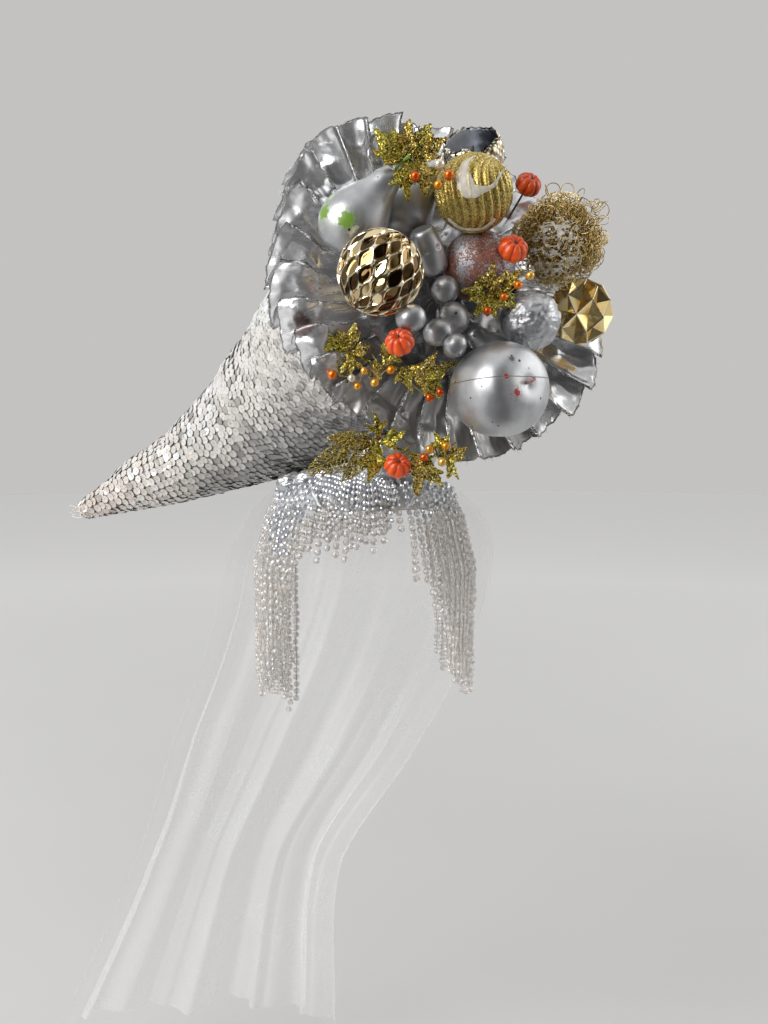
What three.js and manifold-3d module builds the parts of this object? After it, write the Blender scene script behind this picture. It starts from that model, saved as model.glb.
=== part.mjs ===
// Cornucopia headdress, in millimetres.
// +X is the wearer's left, -Y is the way the face looks, +Z is up.
// The origin is the centre of the head opening, level with the cap's rim.

import * as THREE from "three";
import { mergeVertices } from "three/addons/utils/BufferGeometryUtils.js";
import Module from "manifold-3d";

const wasm = await Module();
wasm.setup();

// Driving dimensions

const GAP = 0.3;

const CAP = { halfWidth: 86, halfDepth: 98, height: 36, wall: 2.4, around: 28 };
const CAP_LEVELS = [0, 0.32, 0.6, 0.84];

const HORN = { wall: 2.4, around: 22, tipLength: 9 };

// Centre line of the horn from the tail to the mouth.
// Turn is how far a section faces as the mouth does: 0 across the line, 1 along the mouth's plane.
const HORN_SECTIONS = [
  { x: -289, y: 62, z: -12, radius: 10, turn: 0 },
  { x: -259, y: 59, z: 1, radius: 18, turn: 0 },
  { x: -230, y: 55, z: 15, radius: 27, turn: 0 },
  { x: -187, y: 49, z: 33, radius: 36.5, turn: 0 },
  { x: -144, y: 41, z: 57, radius: 50, turn: 0 },
  { x: -110, y: 33, z: 77, radius: 62, turn: 0 },
  { x: -87, y: 25, z: 93, radius: 72, turn: 0 },
  { x: -48, y: 8, z: 118, radius: 87, turn: 0 },
  { x: 8, y: -24, z: 162, radius: 104, turn: 0.4 },
];

const MOUTH = { x: 62, y: -60, z: 196, radius: 115, turn: 1, yaw: 24, pitch: 12 };

const BED = { bulge: 30, depth: 6, around: 24 };

// Pad on the crown that holds the mouth end of the horn up
const PAD = { x: 26, y: -42, z: 48, halfWidth: 46, halfDepth: 44, halfHeight: 34, around: 14, levels: 6 };
const PAD_CLEARING = 400;

const RUFFLE = { wall: 1.5, sink: 0.45, notch: 5, flare: 6, start: 0.12, rise: 0.7 };
const RUFFLE_RUNS = [0, 0.3, 0.65, 1];

// Pleats of the ruffle: angle round the mouth, reach from the mouth's middle, and how far the crest lifts
const PLEATS = [
  { at: 2, reach: 168, lift: 9 },
  { at: 14, reach: 160, lift: 11 },
  { at: 27, reach: 154, lift: 8 },
  { at: 39, reach: 152, lift: 12 },
  { at: 51, reach: 155, lift: 9 },
  { at: 63, reach: 161, lift: 11 },
  { at: 75, reach: 166, lift: 8 },
  { at: 86, reach: 169, lift: 12 },
  { at: 98, reach: 166, lift: 10 },
  { at: 109, reach: 168, lift: 13 },
  { at: 120, reach: 170, lift: 9 },
  { at: 131, reach: 170, lift: 12 },
  { at: 142, reach: 167, lift: 10 },
  { at: 154, reach: 164, lift: 13 },
  { at: 166, reach: 162, lift: 9 },
  { at: 178, reach: 162, lift: 12 },
  { at: 190, reach: 158, lift: 9 },
  { at: 201, reach: 151, lift: 11 },
  { at: 213, reach: 149, lift: 8 },
  { at: 225, reach: 144, lift: 11 },
  { at: 237, reach: 139, lift: 9 },
  { at: 249, reach: 142, lift: 12 },
  { at: 260, reach: 148, lift: 9 },
  { at: 272, reach: 157, lift: 12 },
  { at: 283, reach: 160, lift: 10 },
  { at: 295, reach: 164, lift: 13 },
  { at: 307, reach: 165, lift: 9 },
  { at: 319, reach: 172, lift: 12 },
  { at: 332, reach: 180, lift: 10 },
  { at: 345, reach: 184, lift: 12 },
];

// Ornaments in the order they were set in: place seen from the front, size, and how the axis is turned.
// Roll tips the top to +X, lean tips it to the front, and spin, where there is one, turns it on its own axis.
const ORNAMENTS = [
  { name: "pear_rear", form: "pear", x: 36, z: 268, radius: 26, roll: 40, lean: 10 },
  { name: "broken_bauble", form: "brokenBall", x: 101, z: 325, radius: 29, roll: -12, lean: 38 },
  { name: "rust_ball", form: "ball", x: 103, z: 218, radius: 32, roll: 10, lean: 20 },
  { name: "gourd", form: "gourd", x: 58, z: 228, radius: 13.5, roll: -20, lean: 25 },
  { name: "star_bauble", form: "starBall", x: 204, z: 183, radius: 31, roll: 8, lean: 12, spin: 10 },
  { name: "pear", form: "pear", x: -8, z: 250, radius: 30, roll: 40, lean: 8 },
  { name: "pear_low", form: "pear", x: 126, z: 136, radius: 22, roll: -48, lean: 20 },
  { name: "glitter_bauble", form: "ribbedBall", x: 96, z: 277, radius: 34, roll: 30, lean: 15 },
  { name: "wire_ball", form: "wireBall", x: 180, z: 245, radius: 45, roll: 0, lean: 0 },
  { name: "foil_ball", form: "foilBall", x: 148, z: 170, radius: 27, roll: 20, lean: 30, spin: 40 },
  { name: "mirror_bauble", form: "mirrorBall", x: 16, z: 205, radius: 36, roll: 25, lean: 20 },
  { name: "apple", form: "apple", x: 117, z: 109, radius: 40.5, roll: 80, lean: 51 },
  { name: "grape_1", form: "grape", x: 72, z: 195, radius: 12, roll: 20, lean: 40 },
  { name: "grape_2", form: "grape", x: 80, z: 171, radius: 13, roll: -30, lean: 30 },
  { name: "grape_3", form: "grape", x: 65, z: 158, radius: 12, roll: 70, lean: 20 },
  { name: "grape_4", form: "grape", x: 79, z: 146, radius: 10, roll: 30, lean: 30 },
  { name: "grape_5", form: "grape", x: 41, z: 167, radius: 11.5, roll: 80, lean: 10 },
  { name: "pumpkin_1", form: "pumpkinOnWire", x: 154, z: 300, radius: 12.5, roll: 30, lean: 40 },
  { name: "pumpkin_2", form: "pumpkin", x: 130, z: 229, radius: 13, roll: 20, lean: 50 },
];

// Ornaments set in after the leaf sprays
const LATE_ORNAMENTS = [
  { name: "pumpkin_3", form: "pumpkin", x: 32, z: 147, radius: 12.5, roll: -20, lean: 50 },
  { name: "pumpkin_4", form: "pumpkin", x: 31, z: 43, radius: 12, roll: 20, lean: 55 },
];

const LEAF = { thickness: 2.2, lift: 8, bow: 0.1, root: -1 };
const LEAF_SECTIONS = [
  { at: 0.3, wide: 0.85 },
  { at: 0.55, wide: 1 },
  { at: 0.8, wide: 0.55 },
];
const SPRAY_STEM_RADIUS = 1.6;

// Leaf sprays: each leaf starts on the stem and points at its turn, seen from the front, 90 being up
const SPRAYS = [
  {
    name: "spray_top",
    x: 39,
    z: 301,
    stem: [{ x: -6, z: -2 }, { x: 2, z: 2 }, { x: 9, z: 0 }],
    leaves: [
      { x: 0, z: 1, turn: 140, length: 36, width: 17 },
      { x: 2, z: 2, turn: 92, length: 30, width: 15 },
      { x: 5, z: 2, turn: 62, length: 30, width: 14 },
      { x: 8, z: 0, turn: 36, length: 30, width: 14 },
      { x: -4, z: -1, turn: 188, length: 22, width: 12 },
      { x: -3, z: -1, turn: 238, length: 25, width: 14 },
      { x: 1, z: 0, turn: 264, length: 37, width: 15 },
      { x: 6, z: 0, turn: 286, length: 32, width: 14 },
    ],
  },
  {
    name: "spray_mid",
    x: 113,
    z: 190,
    stem: [{ x: -5, z: -2 }, { x: 2, z: 0 }, { x: 8, z: 4 }],
    leaves: [
      { x: 3, z: 1, turn: 98, length: 32, width: 11 },
      { x: -4, z: -1, turn: 168, length: 24, width: 12 },
      { x: -3, z: -1, turn: 232, length: 22, width: 12 },
      { x: 1, z: 0, turn: 272, length: 19, width: 12 },
      { x: 4, z: 1, turn: 325, length: 21, width: 13 },
      { x: 7, z: 3, turn: 44, length: 27, width: 11 },
    ],
  },
  {
    name: "spray_low",
    x: 25,
    z: 129,
    stem: [{ x: -40, z: 15 }, { x: -17, z: 4 }, { x: 7, z: 0 }, { x: 28, z: -2 }],
    leaves: [
      { x: -39, z: 14, turn: 72, length: 26, width: 12 },
      { x: -39, z: 14, turn: 146, length: 25, width: 11 },
      { x: -38, z: 13, turn: 268, length: 28, width: 9 },
      { x: -34, z: 11, turn: 24, length: 17, width: 11 },
      { x: -15, z: 3, turn: 294, length: 16, width: 9 },
      { x: -6, z: 1, turn: 54, length: 27, width: 12 },
      { x: 9, z: 0, turn: 294, length: 26, width: 9 },
      { x: 14, z: -1, turn: 7, length: 44, width: 14 },
      { x: 20, z: -1, turn: 311, length: 35, width: 17 },
    ],
  },
  {
    name: "spray_cap",
    x: 22,
    z: 51,
    stem: [{ x: -12, z: 13 }, { x: 10, z: 6 }, { x: 32, z: 0 }, { x: 52, z: 0 }],
    leaves: [
      { x: -11, z: 12, turn: 203, length: 66, width: 26 },
      { x: -11, z: 12, turn: 174, length: 42, width: 16 },
      { x: -11, z: 11, turn: 229, length: 44, width: 16 },
      { x: -9, z: 11, turn: 256, length: 36, width: 13 },
      { x: -9, z: 12, turn: 97, length: 27, width: 8 },
      { x: -6, z: 11, turn: 26, length: 25, width: 10 },
      { x: 23, z: 2, turn: 274, length: 38, width: 13 },
      { x: 33, z: 0, turn: 300, length: 32, width: 10 },
      { x: 49, z: 0, turn: 112, length: 23, width: 9 },
      { x: 51, z: 0, turn: 22, length: 21, width: 8 },
      { x: 50, z: 0, turn: 302, length: 24, width: 8 },
    ],
  },
];

// Berry sprigs: a thin wire run through small round berries, seen from the front
const BERRY_WIRE_RADIUS = 0.9;
const BERRY_SPRIGS = [
  {
    name: "berries_top",
    x: 65,
    z: 290,
    berries: [
      { x: -20, z: -5, radius: 4 },
      { x: -1, z: -12, radius: 3.8 },
      { x: 8, z: -4, radius: 4.2 },
      { x: 0, z: 5, radius: 4.4 },
    ],
  },
  {
    name: "berries_mid",
    x: 128,
    z: 196,
    berries: [
      { x: -20, z: -20, radius: 3.6 },
      { x: -6, z: -8, radius: 3.4 },
      { x: 6, z: 2, radius: 3.8 },
      { x: 16, z: 10, radius: 3.8 },
    ],
  },
  {
    name: "berries_low",
    x: 10,
    z: 118,
    berries: [
      { x: -36, z: 4, radius: 4.2 },
      { x: -19, z: 1, radius: 3.6 },
      { x: -14, z: -6, radius: 3.4 },
      { x: -8, z: 7, radius: 3.6 },
      { x: 1, z: -3, radius: 3.8 },
      { x: 15, z: 8, radius: 3.8 },
      { x: 49, z: -16, radius: 3.8 },
      { x: 58, z: -11, radius: 3.6 },
    ],
  },
  {
    name: "berries_cap",
    x: 60,
    z: 53,
    berries: [
      { x: -6, z: -3, radius: 3.8 },
      { x: -1, z: 4, radius: 3.8 },
      { x: 10, z: -7, radius: 3.8 },
      { x: 13, z: 7, radius: 3.8 },
    ],
  },
];

// Bead fringe: a header band on the cap's edge and strips hanging from it
const BAND = { foot: 2, top: 11, wall: 4, step: 12, clear: 0.55, overhang: 3 };
const STRIP = { halfWidth: 8, halfDepth: 2.4, deeper: 11, shortest: 10 };

// How far out the strips hang at each height
const DRAPE = [
  { z: 7, out: 85.5 },
  { z: -10, out: 95 },
  { z: -60, out: 107 },
  { z: -210, out: 105 },
];

// Strips of the fringe: angle round the head from the front, positive to +X, and the height of the free end
const FRINGES = [
  {
    name: "fringe_left",
    strips: [
      { at: -46, end: -90 },
      { at: -58, end: -150 },
      { at: -70, end: -192 },
      { at: -82, end: -208 },
      { at: -94, end: -203 },
      { at: -106, end: -209 },
      { at: -118, end: -200 },
      { at: -130, end: -206 },
    ],
  },
  {
    name: "fringe_front",
    strips: [
      { at: -30, end: -43 },
      { at: -18, end: -44 },
      { at: -6, end: -38 },
      { at: 6, end: -30 },
      { at: 18, end: -18 },
    ],
  },
  {
    name: "fringe_right",
    strips: [
      { at: 32, end: -62 },
      { at: 44, end: -100 },
      { at: 56, end: -178 },
      { at: 68, end: -186 },
      { at: 80, end: -190 },
      { at: 92, end: -184 },
      { at: 104, end: -190 },
      { at: 116, end: -182 },
      { at: 128, end: -188 },
    ],
  },
];

// Tulle veil, gathered along the back of the cap: ends and back of its half oval at each height
const VEIL = { wall: 1, columns: 25, folds: 6 };
const VEIL_LEVELS = [
  { z: 16, left: -75.6, right: 75.6, ends: 16, back: 87.3, fold: 0 },
  { z: 14, left: -90, right: 90, ends: 18, back: 104, fold: 1 },
  { z: -10, left: -114, right: 120, ends: 26, back: 124, fold: 3 },
  { z: -60, left: -142, right: 136, ends: 48, back: 140, fold: 7 },
  { z: -150, left: -164, right: 118, ends: 66, back: 152, fold: 10 },
  { z: -270, left: -207, right: 62, ends: 84, back: 162, fold: 13 },
  { z: -420, left: -255, right: -30, ends: 92, back: 168, fold: 16 },
  { z: -610, left: -340, right: -36, ends: 96, back: 170, fold: 19 },
];

// Materials

const look = (color, roughness, metalness) => new THREE.MeshStandardMaterial({ color, roughness, metalness });

const looks = {
  sequins: look(0xe6e2d8, 0.3, 0.2),
  lame: look(0xc9c8c6, 0.35, 0.7),
  bed: look(0x77777a, 0.8, 0.2),
  cap: look(0xb9babc, 0.6, 0.2),
  beads: look(0xdfe3e6, 0.15, 0.1),
  tulle: look(0xf1f0ec, 0.9, 0),
  silver_fruit: look(0xc2c3c4, 0.32, 0.6),
  stem: look(0x6b6a3a, 0.7, 0),
  mosaic: look(0xcdb98a, 0.25, 0.7),
  rust: look(0x8a4f36, 0.6, 0.2),
  gold_facet: look(0xd9b872, 0.25, 0.85),
  gold_glitter: look(0xd2b673, 0.45, 0.6),
  gold_wire: look(0xb8924e, 0.35, 0.85),
  foil: look(0xcfd0d2, 0.25, 0.9),
  mirror_gold: look(0xe0d3b2, 0.12, 0.95),
  pumpkin: look(0xd8481a, 0.3, 0),
  leaf: look(0x9a8f3c, 0.5, 0.3),
  berry: look(0xd98a2b, 0.25, 0.05),
};

const ornamentLooks = {
  pear: looks.silver_fruit,
  apple: looks.silver_fruit,
  gourd: looks.silver_fruit,
  grape: looks.silver_fruit,
  ball: looks.rust,
  mirrorBall: looks.mirror_gold,
  starBall: looks.gold_facet,
  ribbedBall: looks.gold_glitter,
  wireBall: looks.gold_wire,
  foilBall: looks.foil,
  brokenBall: looks.mosaic,
  pumpkin: looks.pumpkin,
  pumpkinOnWire: looks.pumpkin,
};

// Helpers

const radians = (degrees) => THREE.MathUtils.degToRad(degrees);

// Turns the faces round if the skin encloses a negative volume
function outward(geometry) {
  const points = geometry.attributes.position;
  const faces = geometry.index.array;
  const [a, b, c] = [new THREE.Vector3(), new THREE.Vector3(), new THREE.Vector3()];
  let volume = 0;
  for (let i = 0; i < faces.length; i += 3) {
    a.fromBufferAttribute(points, faces[i]);
    b.fromBufferAttribute(points, faces[i + 1]);
    c.fromBufferAttribute(points, faces[i + 2]);
    volume += a.dot(b.cross(c));
  }
  if (volume < 0) {
    for (let i = 0; i < faces.length; i += 3) {
      [faces[i], faces[i + 1]] = [faces[i + 1], faces[i]];
    }
  }
  geometry.computeVertexNormals();
  return geometry;
}

// Closed skin through rings of equal length. The end rings are filled to a point each,
// or the last ring runs on into the first when the skin is looped. Rings from `back` on are the
// other side of a wall, and are split so that their diagonals match the first side's.
function skin(rings, { looped = false, first = null, last = null, back = rings.length } = {}) {
  const count = rings[0].length;
  const points = rings.flat();
  const faces = [];
  const bands = looped ? rings.length : rings.length - 1;
  for (let ring = 0; ring < bands; ring += 1) {
    const next = (ring + 1) % rings.length;
    for (let i = 0; i < count; i += 1) {
      const j = (i + 1) % count;
      const [a, b] = [ring * count + i, ring * count + j];
      const [c, d] = [next * count + j, next * count + i];
      if (ring < back) {
        faces.push(a, b, c, a, c, d);
      } else {
        faces.push(a, b, d, b, c, d);
      }
    }
  }
  if (!looped) {
    const middle = (ring) => ring.reduce((sum, p) => sum.add(p), new THREE.Vector3()).divideScalar(count);
    const start = points.push(first ?? middle(rings[0])) - 1;
    const end = points.push(last ?? middle(rings.at(-1))) - 1;
    const lastRing = (rings.length - 1) * count;
    for (let i = 0; i < count; i += 1) {
      const j = (i + 1) % count;
      faces.push(start, j, i, end, lastRing + i, lastRing + j);
    }
  }
  const geometry = new THREE.BufferGeometry().setFromPoints(points);
  geometry.setIndex(faces);
  return outward(geometry);
}

// Welds a geometry to shared corners and drops faces that have collapsed
function welded(geometry) {
  const bare = geometry.clone();
  for (const attribute of ["normal", "uv", "uv1"]) {
    bare.deleteAttribute(attribute);
  }
  const merged = mergeVertices(bare, 1e-3);
  const old = merged.index.array;
  const faces = [];
  for (let i = 0; i < old.length; i += 3) {
    const [a, b, c] = [old[i], old[i + 1], old[i + 2]];
    if (a !== b && b !== c && c !== a) {
      faces.push(a, b, c);
    }
  }
  merged.setIndex(faces);
  return outward(merged);
}

function solidOf(geometry) {
  const closed = welded(geometry);
  return new wasm.Manifold(
    new wasm.Mesh({
      numProp: 3,
      vertProperties: Float32Array.from(closed.attributes.position.array),
      triVerts: Uint32Array.from(closed.index.array),
    }),
  );
}

function geometryOf(solid) {
  const mesh = solid.getMesh();
  const geometry = new THREE.BufferGeometry();
  geometry.setAttribute("position", new THREE.BufferAttribute(Float32Array.from(mesh.vertProperties), 3));
  geometry.setIndex(Array.from(mesh.triVerts));
  geometry.computeVertexNormals();
  return geometry;
}

// Joins overlapping geometries into one
const fuse = (geometries) => geometryOf(geometries.map(solidOf).reduce((sum, part) => sum.add(part)));

// Takes tools out of a body
function cut(body, tools) {
  const rest = tools.map(solidOf).reduce((left, tool) => left.subtract(tool), solidOf(body));
  return geometryOf(rest);
}

// A round bar along a smooth line
function bar(points, radius, sides, steps) {
  const outline = new THREE.Shape();
  for (let i = 0; i < sides; i += 1) {
    const angle = (i / sides) * Math.PI * 2;
    const [x, y] = [radius * Math.cos(angle), radius * Math.sin(angle)];
    if (i === 0) {
      outline.moveTo(x, y);
    } else {
      outline.lineTo(x, y);
    }
  }
  outline.closePath();
  const extrudePath = new THREE.CatmullRomCurve3(points);
  return new THREE.ExtrudeGeometry(outline, { steps, extrudePath, bevelEnabled: false });
}

// A turned form about +Z from rows of radius and height, both as shares of the size
function turned(rows, size, around) {
  const profile = rows.map(({ r, h }) => new THREE.Vector2(r * size, h * size));
  return welded(new THREE.LatheGeometry(profile, around).rotateX(Math.PI / 2));
}

// Moves each point of a form along its own ray from the middle
function reshaped(geometry, share) {
  const points = geometry.attributes.position;
  const point = new THREE.Vector3();
  for (let i = 0; i < points.count; i += 1) {
    point.fromBufferAttribute(points, i);
    point.multiplyScalar(share(point));
    points.setXYZ(i, point.x, point.y, point.z);
  }
  geometry.computeVertexNormals();
  return geometry;
}

const globe = (radius, around, levels) =>
  welded(new THREE.SphereGeometry(radius, around, levels).rotateX(Math.PI / 2));

// A globe of staggered rhombs, the middle of each rhomb pressed in
function rhombGlobe(radius, { around, rows, dent }) {
  const at = (row, turn, size) => {
    const tilt = (row / (rows + 1)) * Math.PI;
    const angle = (turn / around) * Math.PI * 2;
    return new THREE.Vector3().setFromSphericalCoords(size, tilt, angle);
  };
  const points = [];
  const triangle = (a, b, c) => points.push(a, b, c);
  for (let row = 1; row <= rows; row += 1) {
    for (let i = 0; i < around; i += 1) {
      const turn = i + (row % 2) * 0.5;
      const top = at(row - 1, turn + 0.5, radius);
      const bottom = at(row + 1, turn + 0.5, radius);
      const left = at(row, turn, radius);
      const right = at(row, turn + 1, radius);
      const middle = at(row, turn + 0.5, radius * dent);
      triangle(top, left, middle);
      triangle(left, bottom, middle);
      triangle(bottom, right, middle);
      triangle(right, top, middle);
    }
  }
  const geometry = new THREE.BufferGeometry().setFromPoints(points);
  return welded(geometry.rotateX(Math.PI / 2));
}

// Ornament forms, each about its own +Z axis

const PEAR_PROFILE = [
  { r: 0, h: -0.86 },
  { r: 0.2, h: -0.95 },
  { r: 0.6, h: -0.8 },
  { r: 0.92, h: -0.4 },
  { r: 1, h: 0 },
  { r: 0.93, h: 0.42 },
  { r: 0.72, h: 0.85 },
  { r: 0.5, h: 1.25 },
  { r: 0.4, h: 1.6 },
  { r: 0.26, h: 1.84 },
  { r: 0, h: 1.9 },
];

const APPLE_PROFILE = [
  { r: 0, h: 0.62 },
  { r: 0.14, h: 0.68 },
  { r: 0.3, h: 0.84 },
  { r: 0.52, h: 0.92 },
  { r: 0.78, h: 0.78 },
  { r: 0.96, h: 0.42 },
  { r: 1, h: 0.05 },
  { r: 0.93, h: -0.4 },
  { r: 0.72, h: -0.75 },
  { r: 0.45, h: -0.92 },
  { r: 0.2, h: -0.88 },
  { r: 0, h: -0.82 },
];

const GOURD_PROFILE = [
  { r: 0, h: -1.6 },
  { r: 0.6, h: -1.5 },
  { r: 0.95, h: -1.1 },
  { r: 1, h: 0 },
  { r: 0.99, h: 0.3 },
  { r: 0.8, h: 1.45 },
  { r: 0.4, h: 1.6 },
  { r: 0, h: 1.5 },
];

const GRAPE_PROFILE = [
  { r: 0, h: -1.12 },
  { r: 0.55, h: -0.92 },
  { r: 0.93, h: -0.4 },
  { r: 1, h: 0.1 },
  { r: 0.82, h: 0.68 },
  { r: 0.45, h: 1.02 },
  { r: 0, h: 1.1 },
];

const PUMPKIN = { lobes: 7, groove: 0.13, squat: 0.8, stem: 0.16, wire: 45, wireRadius: 1 };

// Line of a pumpkin's stem, and of the wire under it, as shares of the pumpkin's radius and the wire's length
const PUMPKIN_STEM = [
  { x: 0, h: 0.6 },
  { x: 0.04, h: 0.95 },
  { x: 0.16, h: 1.2 },
];
const PUMPKIN_WIRE = [0.1, -0.4, -1];
const RIBS = { count: 12, depth: 0.03 };
const MIRROR = { around: 10, rows: 7, dent: 0.965 };
const STAR = { around: 7, rows: 5, dent: 0.86 };
const BROKEN = { wall: 1.6, opening: 62, ragged: 9, around: 16, levels: 5 };
const CRUMPLE = { depth: 0.05, waves: 5 };

function pumpkinParts(size) {
  const body = reshaped(globe(size, PUMPKIN.lobes * 2, 5), (p) => {
    const angle = Math.atan2(p.y, p.x);
    const flat = Math.hypot(p.x, p.y) / size;
    return 1 - PUMPKIN.groove * flat * (0.5 - 0.5 * Math.cos(angle * PUMPKIN.lobes));
  }).scale(1, 1, PUMPKIN.squat);
  const stem = PUMPKIN_STEM.map(({ x, h }) => new THREE.Vector3(size * x, 0, size * h));
  return [body, bar(stem, size * PUMPKIN.stem, 5, 2)];
}

function crumpledBall(size) {
  return reshaped(globe(size, 13, 8), (p) => {
    const { x, y, z } = p.clone().multiplyScalar(CRUMPLE.waves / size);
    const wave = Math.sin(x + 1) * Math.sin(y + 2) * Math.cos(z);
    return 1 - CRUMPLE.depth + CRUMPLE.depth * wave;
  });
}

const forms = {
  pear: (size) => turned(PEAR_PROFILE, size, 12),
  apple: (size) => turned(APPLE_PROFILE, size, 16),
  gourd: (size) => turned(GOURD_PROFILE, size, 12),
  grape: (size) => turned(GRAPE_PROFILE, size, 10),
  ball: (size) => globe(size, 14, 9),
  mirrorBall: (size) => rhombGlobe(size, MIRROR),
  starBall: (size) => rhombGlobe(size, STAR),
  ribbedBall: (size) =>
    reshaped(globe(size, RIBS.count * 2, 8), (p) => {
      const angle = Math.atan2(p.y, p.x);
      const flat = Math.hypot(p.x, p.y) / size;
      return 1 - RIBS.depth + RIBS.depth * flat * Math.cos(angle * RIBS.count);
    }),
  wireBall: (size) => crumpledBall(size),
  foilBall: (size) => crumpledBall(size),
  pumpkin: (size) => fuse(pumpkinParts(size)),
  pumpkinOnWire: (size) => {
    const wire = PUMPKIN_WIRE.map((share) => new THREE.Vector3(0, 0, share * PUMPKIN.wire));
    return fuse([...pumpkinParts(size), bar(wire, PUMPKIN.wireRadius, 5, 1)]);
  },
  brokenBall: (size) => {
    const ring = (radius, share) => {
      const points = [];
      for (let i = 0; i < BROKEN.around; i += 1) {
        const angle = (i / BROKEN.around) * Math.PI * 2;
        const ragged = BROKEN.ragged * (Math.sin(angle * 5 + 1) + 0.6 * Math.sin(angle * 8 + 2));
        const edge = radians(BROKEN.opening + ragged);
        const tilt = Math.PI - share * (Math.PI - edge);
        points.push(new THREE.Vector3().setFromSphericalCoords(radius, tilt, angle));
      }
      return points;
    };
    const shares = Array.from({ length: BROKEN.levels }, (_, i) => (i + 1) / BROKEN.levels);
    const outer = shares.map((share) => ring(size, share));
    const inner = shares.map((share) => ring(size - BROKEN.wall, share)).reverse();
    const first = new THREE.Vector3(0, -size, 0);
    const last = new THREE.Vector3(0, BROKEN.wall - size, 0);
    return skin([...outer, ...inner], { first, last }).rotateX(Math.PI / 2);
  },
};

// Scene

const headdress = new THREE.Group();
headdress.name = "cornucopia_headdress";

// Solids already in place, in the headdress frame
const pile = [];

function add(name, geometry, material, parent = headdress) {
  const mesh = new THREE.Mesh(geometry, material);
  mesh.name = name;
  parent.add(mesh);
  return mesh;
}

function keep(mesh) {
  mesh.updateWorldMatrix(true, false);
  const solid = solidOf(mesh.geometry.clone().applyMatrix4(mesh.matrixWorld));
  pile.push({ solid, box: solid.boundingBox() });
}

function meets(solid) {
  const box = solid.boundingBox();
  return pile.some((other) => {
    const apart = [0, 1, 2].some((k) => box.min[k] > other.box.max[k] || box.max[k] < other.box.min[k]);
    if (apart) {
      return false;
    }
    const shared = solid.intersect(other.solid);
    const touching = shared.volume() > 1e-5;
    shared.delete();
    return touching;
  });
}

// Pushes a mesh back from the front until it meets what is already there, then draws it off by the gap
const SETTLE = { start: -300, step: 1.5, reach: 330, halvings: 6 };

function settle(mesh) {
  mesh.position.y = SETTLE.start;
  mesh.updateWorldMatrix(true, false);
  const solid = solidOf(mesh.geometry.clone().applyMatrix4(mesh.matrixWorld));
  const meetsAt = (travel) => {
    const moved = solid.translate([0, travel, 0]);
    const touching = meets(moved);
    moved.delete();
    return touching;
  };
  let free = 0;
  while (free < SETTLE.reach && !meetsAt(free + SETTLE.step)) {
    free += SETTLE.step;
  }
  let step = SETTLE.step;
  for (let i = 0; i < SETTLE.halvings; i += 1) {
    step /= 2;
    if (!meetsAt(free + step)) {
      free += step;
    }
  }
  mesh.position.y = SETTLE.start + free - GAP;
  keep(mesh);
}

// Cap: a shallow oval dome, open below

function capRing(level, inset) {
  const height = CAP.height - inset;
  const tilt = level * Math.PI * 0.5;
  const points = [];
  for (let i = 0; i < CAP.around; i += 1) {
    const angle = (i / CAP.around) * Math.PI * 2;
    const x = (CAP.halfWidth - inset) * Math.cos(tilt) * Math.cos(angle);
    const y = (CAP.halfDepth - inset) * Math.cos(tilt) * Math.sin(angle);
    points.push(new THREE.Vector3(x, y, height * Math.sin(tilt)));
  }
  return points;
}

const capOuter = CAP_LEVELS.map((level) => capRing(level, 0)).reverse();
const capInner = CAP_LEVELS.map((level) => capRing(level, CAP.wall));
const cap = add(
  "cap",
  skin([...capOuter, ...capInner], {
    first: new THREE.Vector3(0, 0, CAP.height),
    last: new THREE.Vector3(0, 0, CAP.height - CAP.wall),
  }),
  looks.cap,
);
keep(cap);

// Horn: a hollow tapering wall swept along its centre line, open at the mouth

const mouthNormal = new THREE.Vector3(
  Math.sin(radians(MOUTH.yaw)) * Math.cos(radians(MOUTH.pitch)),
  -Math.cos(radians(MOUTH.yaw)) * Math.cos(radians(MOUTH.pitch)),
  Math.sin(radians(MOUTH.pitch)),
);
const hornRows = [...HORN_SECTIONS, MOUTH];
const hornLine = new THREE.CatmullRomCurve3(hornRows.map(({ x, y, z }) => new THREE.Vector3(x, y, z)));

function hornHeading(index) {
  const heading = hornLine.getTangent(index / (hornRows.length - 1));
  return heading.lerp(mouthNormal, hornRows[index].turn).normalize();
}

function hornRing(index, inset) {
  const { x, y, z, radius } = hornRows[index];
  const heading = hornHeading(index);
  const side = new THREE.Vector3(0, 0, 1).cross(heading).normalize();
  const up = heading.clone().cross(side);
  const points = [];
  for (let i = 0; i < HORN.around; i += 1) {
    const angle = (i / HORN.around) * Math.PI * 2;
    const point = new THREE.Vector3(x, y, z);
    point.addScaledVector(side, (radius - inset) * Math.cos(angle));
    point.addScaledVector(up, (radius - inset) * Math.sin(angle));
    points.push(point);
  }
  return points;
}

const hornOuter = hornRows.map((_, index) => hornRing(index, 0));
const hornInner = hornRows.map((_, index) => hornRing(index, HORN.wall)).reverse();
const tail = new THREE.Vector3(hornRows[0].x, hornRows[0].y, hornRows[0].z);
const horn = add(
  "horn",
  skin([...hornOuter, ...hornInner], {
    first: tail.clone().addScaledVector(hornHeading(0), -HORN.tipLength),
    last: tail.clone().addScaledVector(hornHeading(0), HORN.wall - HORN.tipLength),
  }),
  looks.sequins,
);
keep(horn);

// Mouth frame: +Z out of the mouth, +X to the side, +Y up the mouth

const mouth = new THREE.Group();
mouth.name = "mouth";
mouth.position.set(MOUTH.x, MOUTH.y, MOUTH.z);
const mouthSide = new THREE.Vector3(0, 0, 1).cross(mouthNormal).normalize();
const mouthUp = mouthNormal.clone().cross(mouthSide);
mouth.quaternion.setFromRotationMatrix(new THREE.Matrix4().makeBasis(mouthSide, mouthUp, mouthNormal));
headdress.add(mouth);

// Bed: the padded plug that carries the fruit

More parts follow.
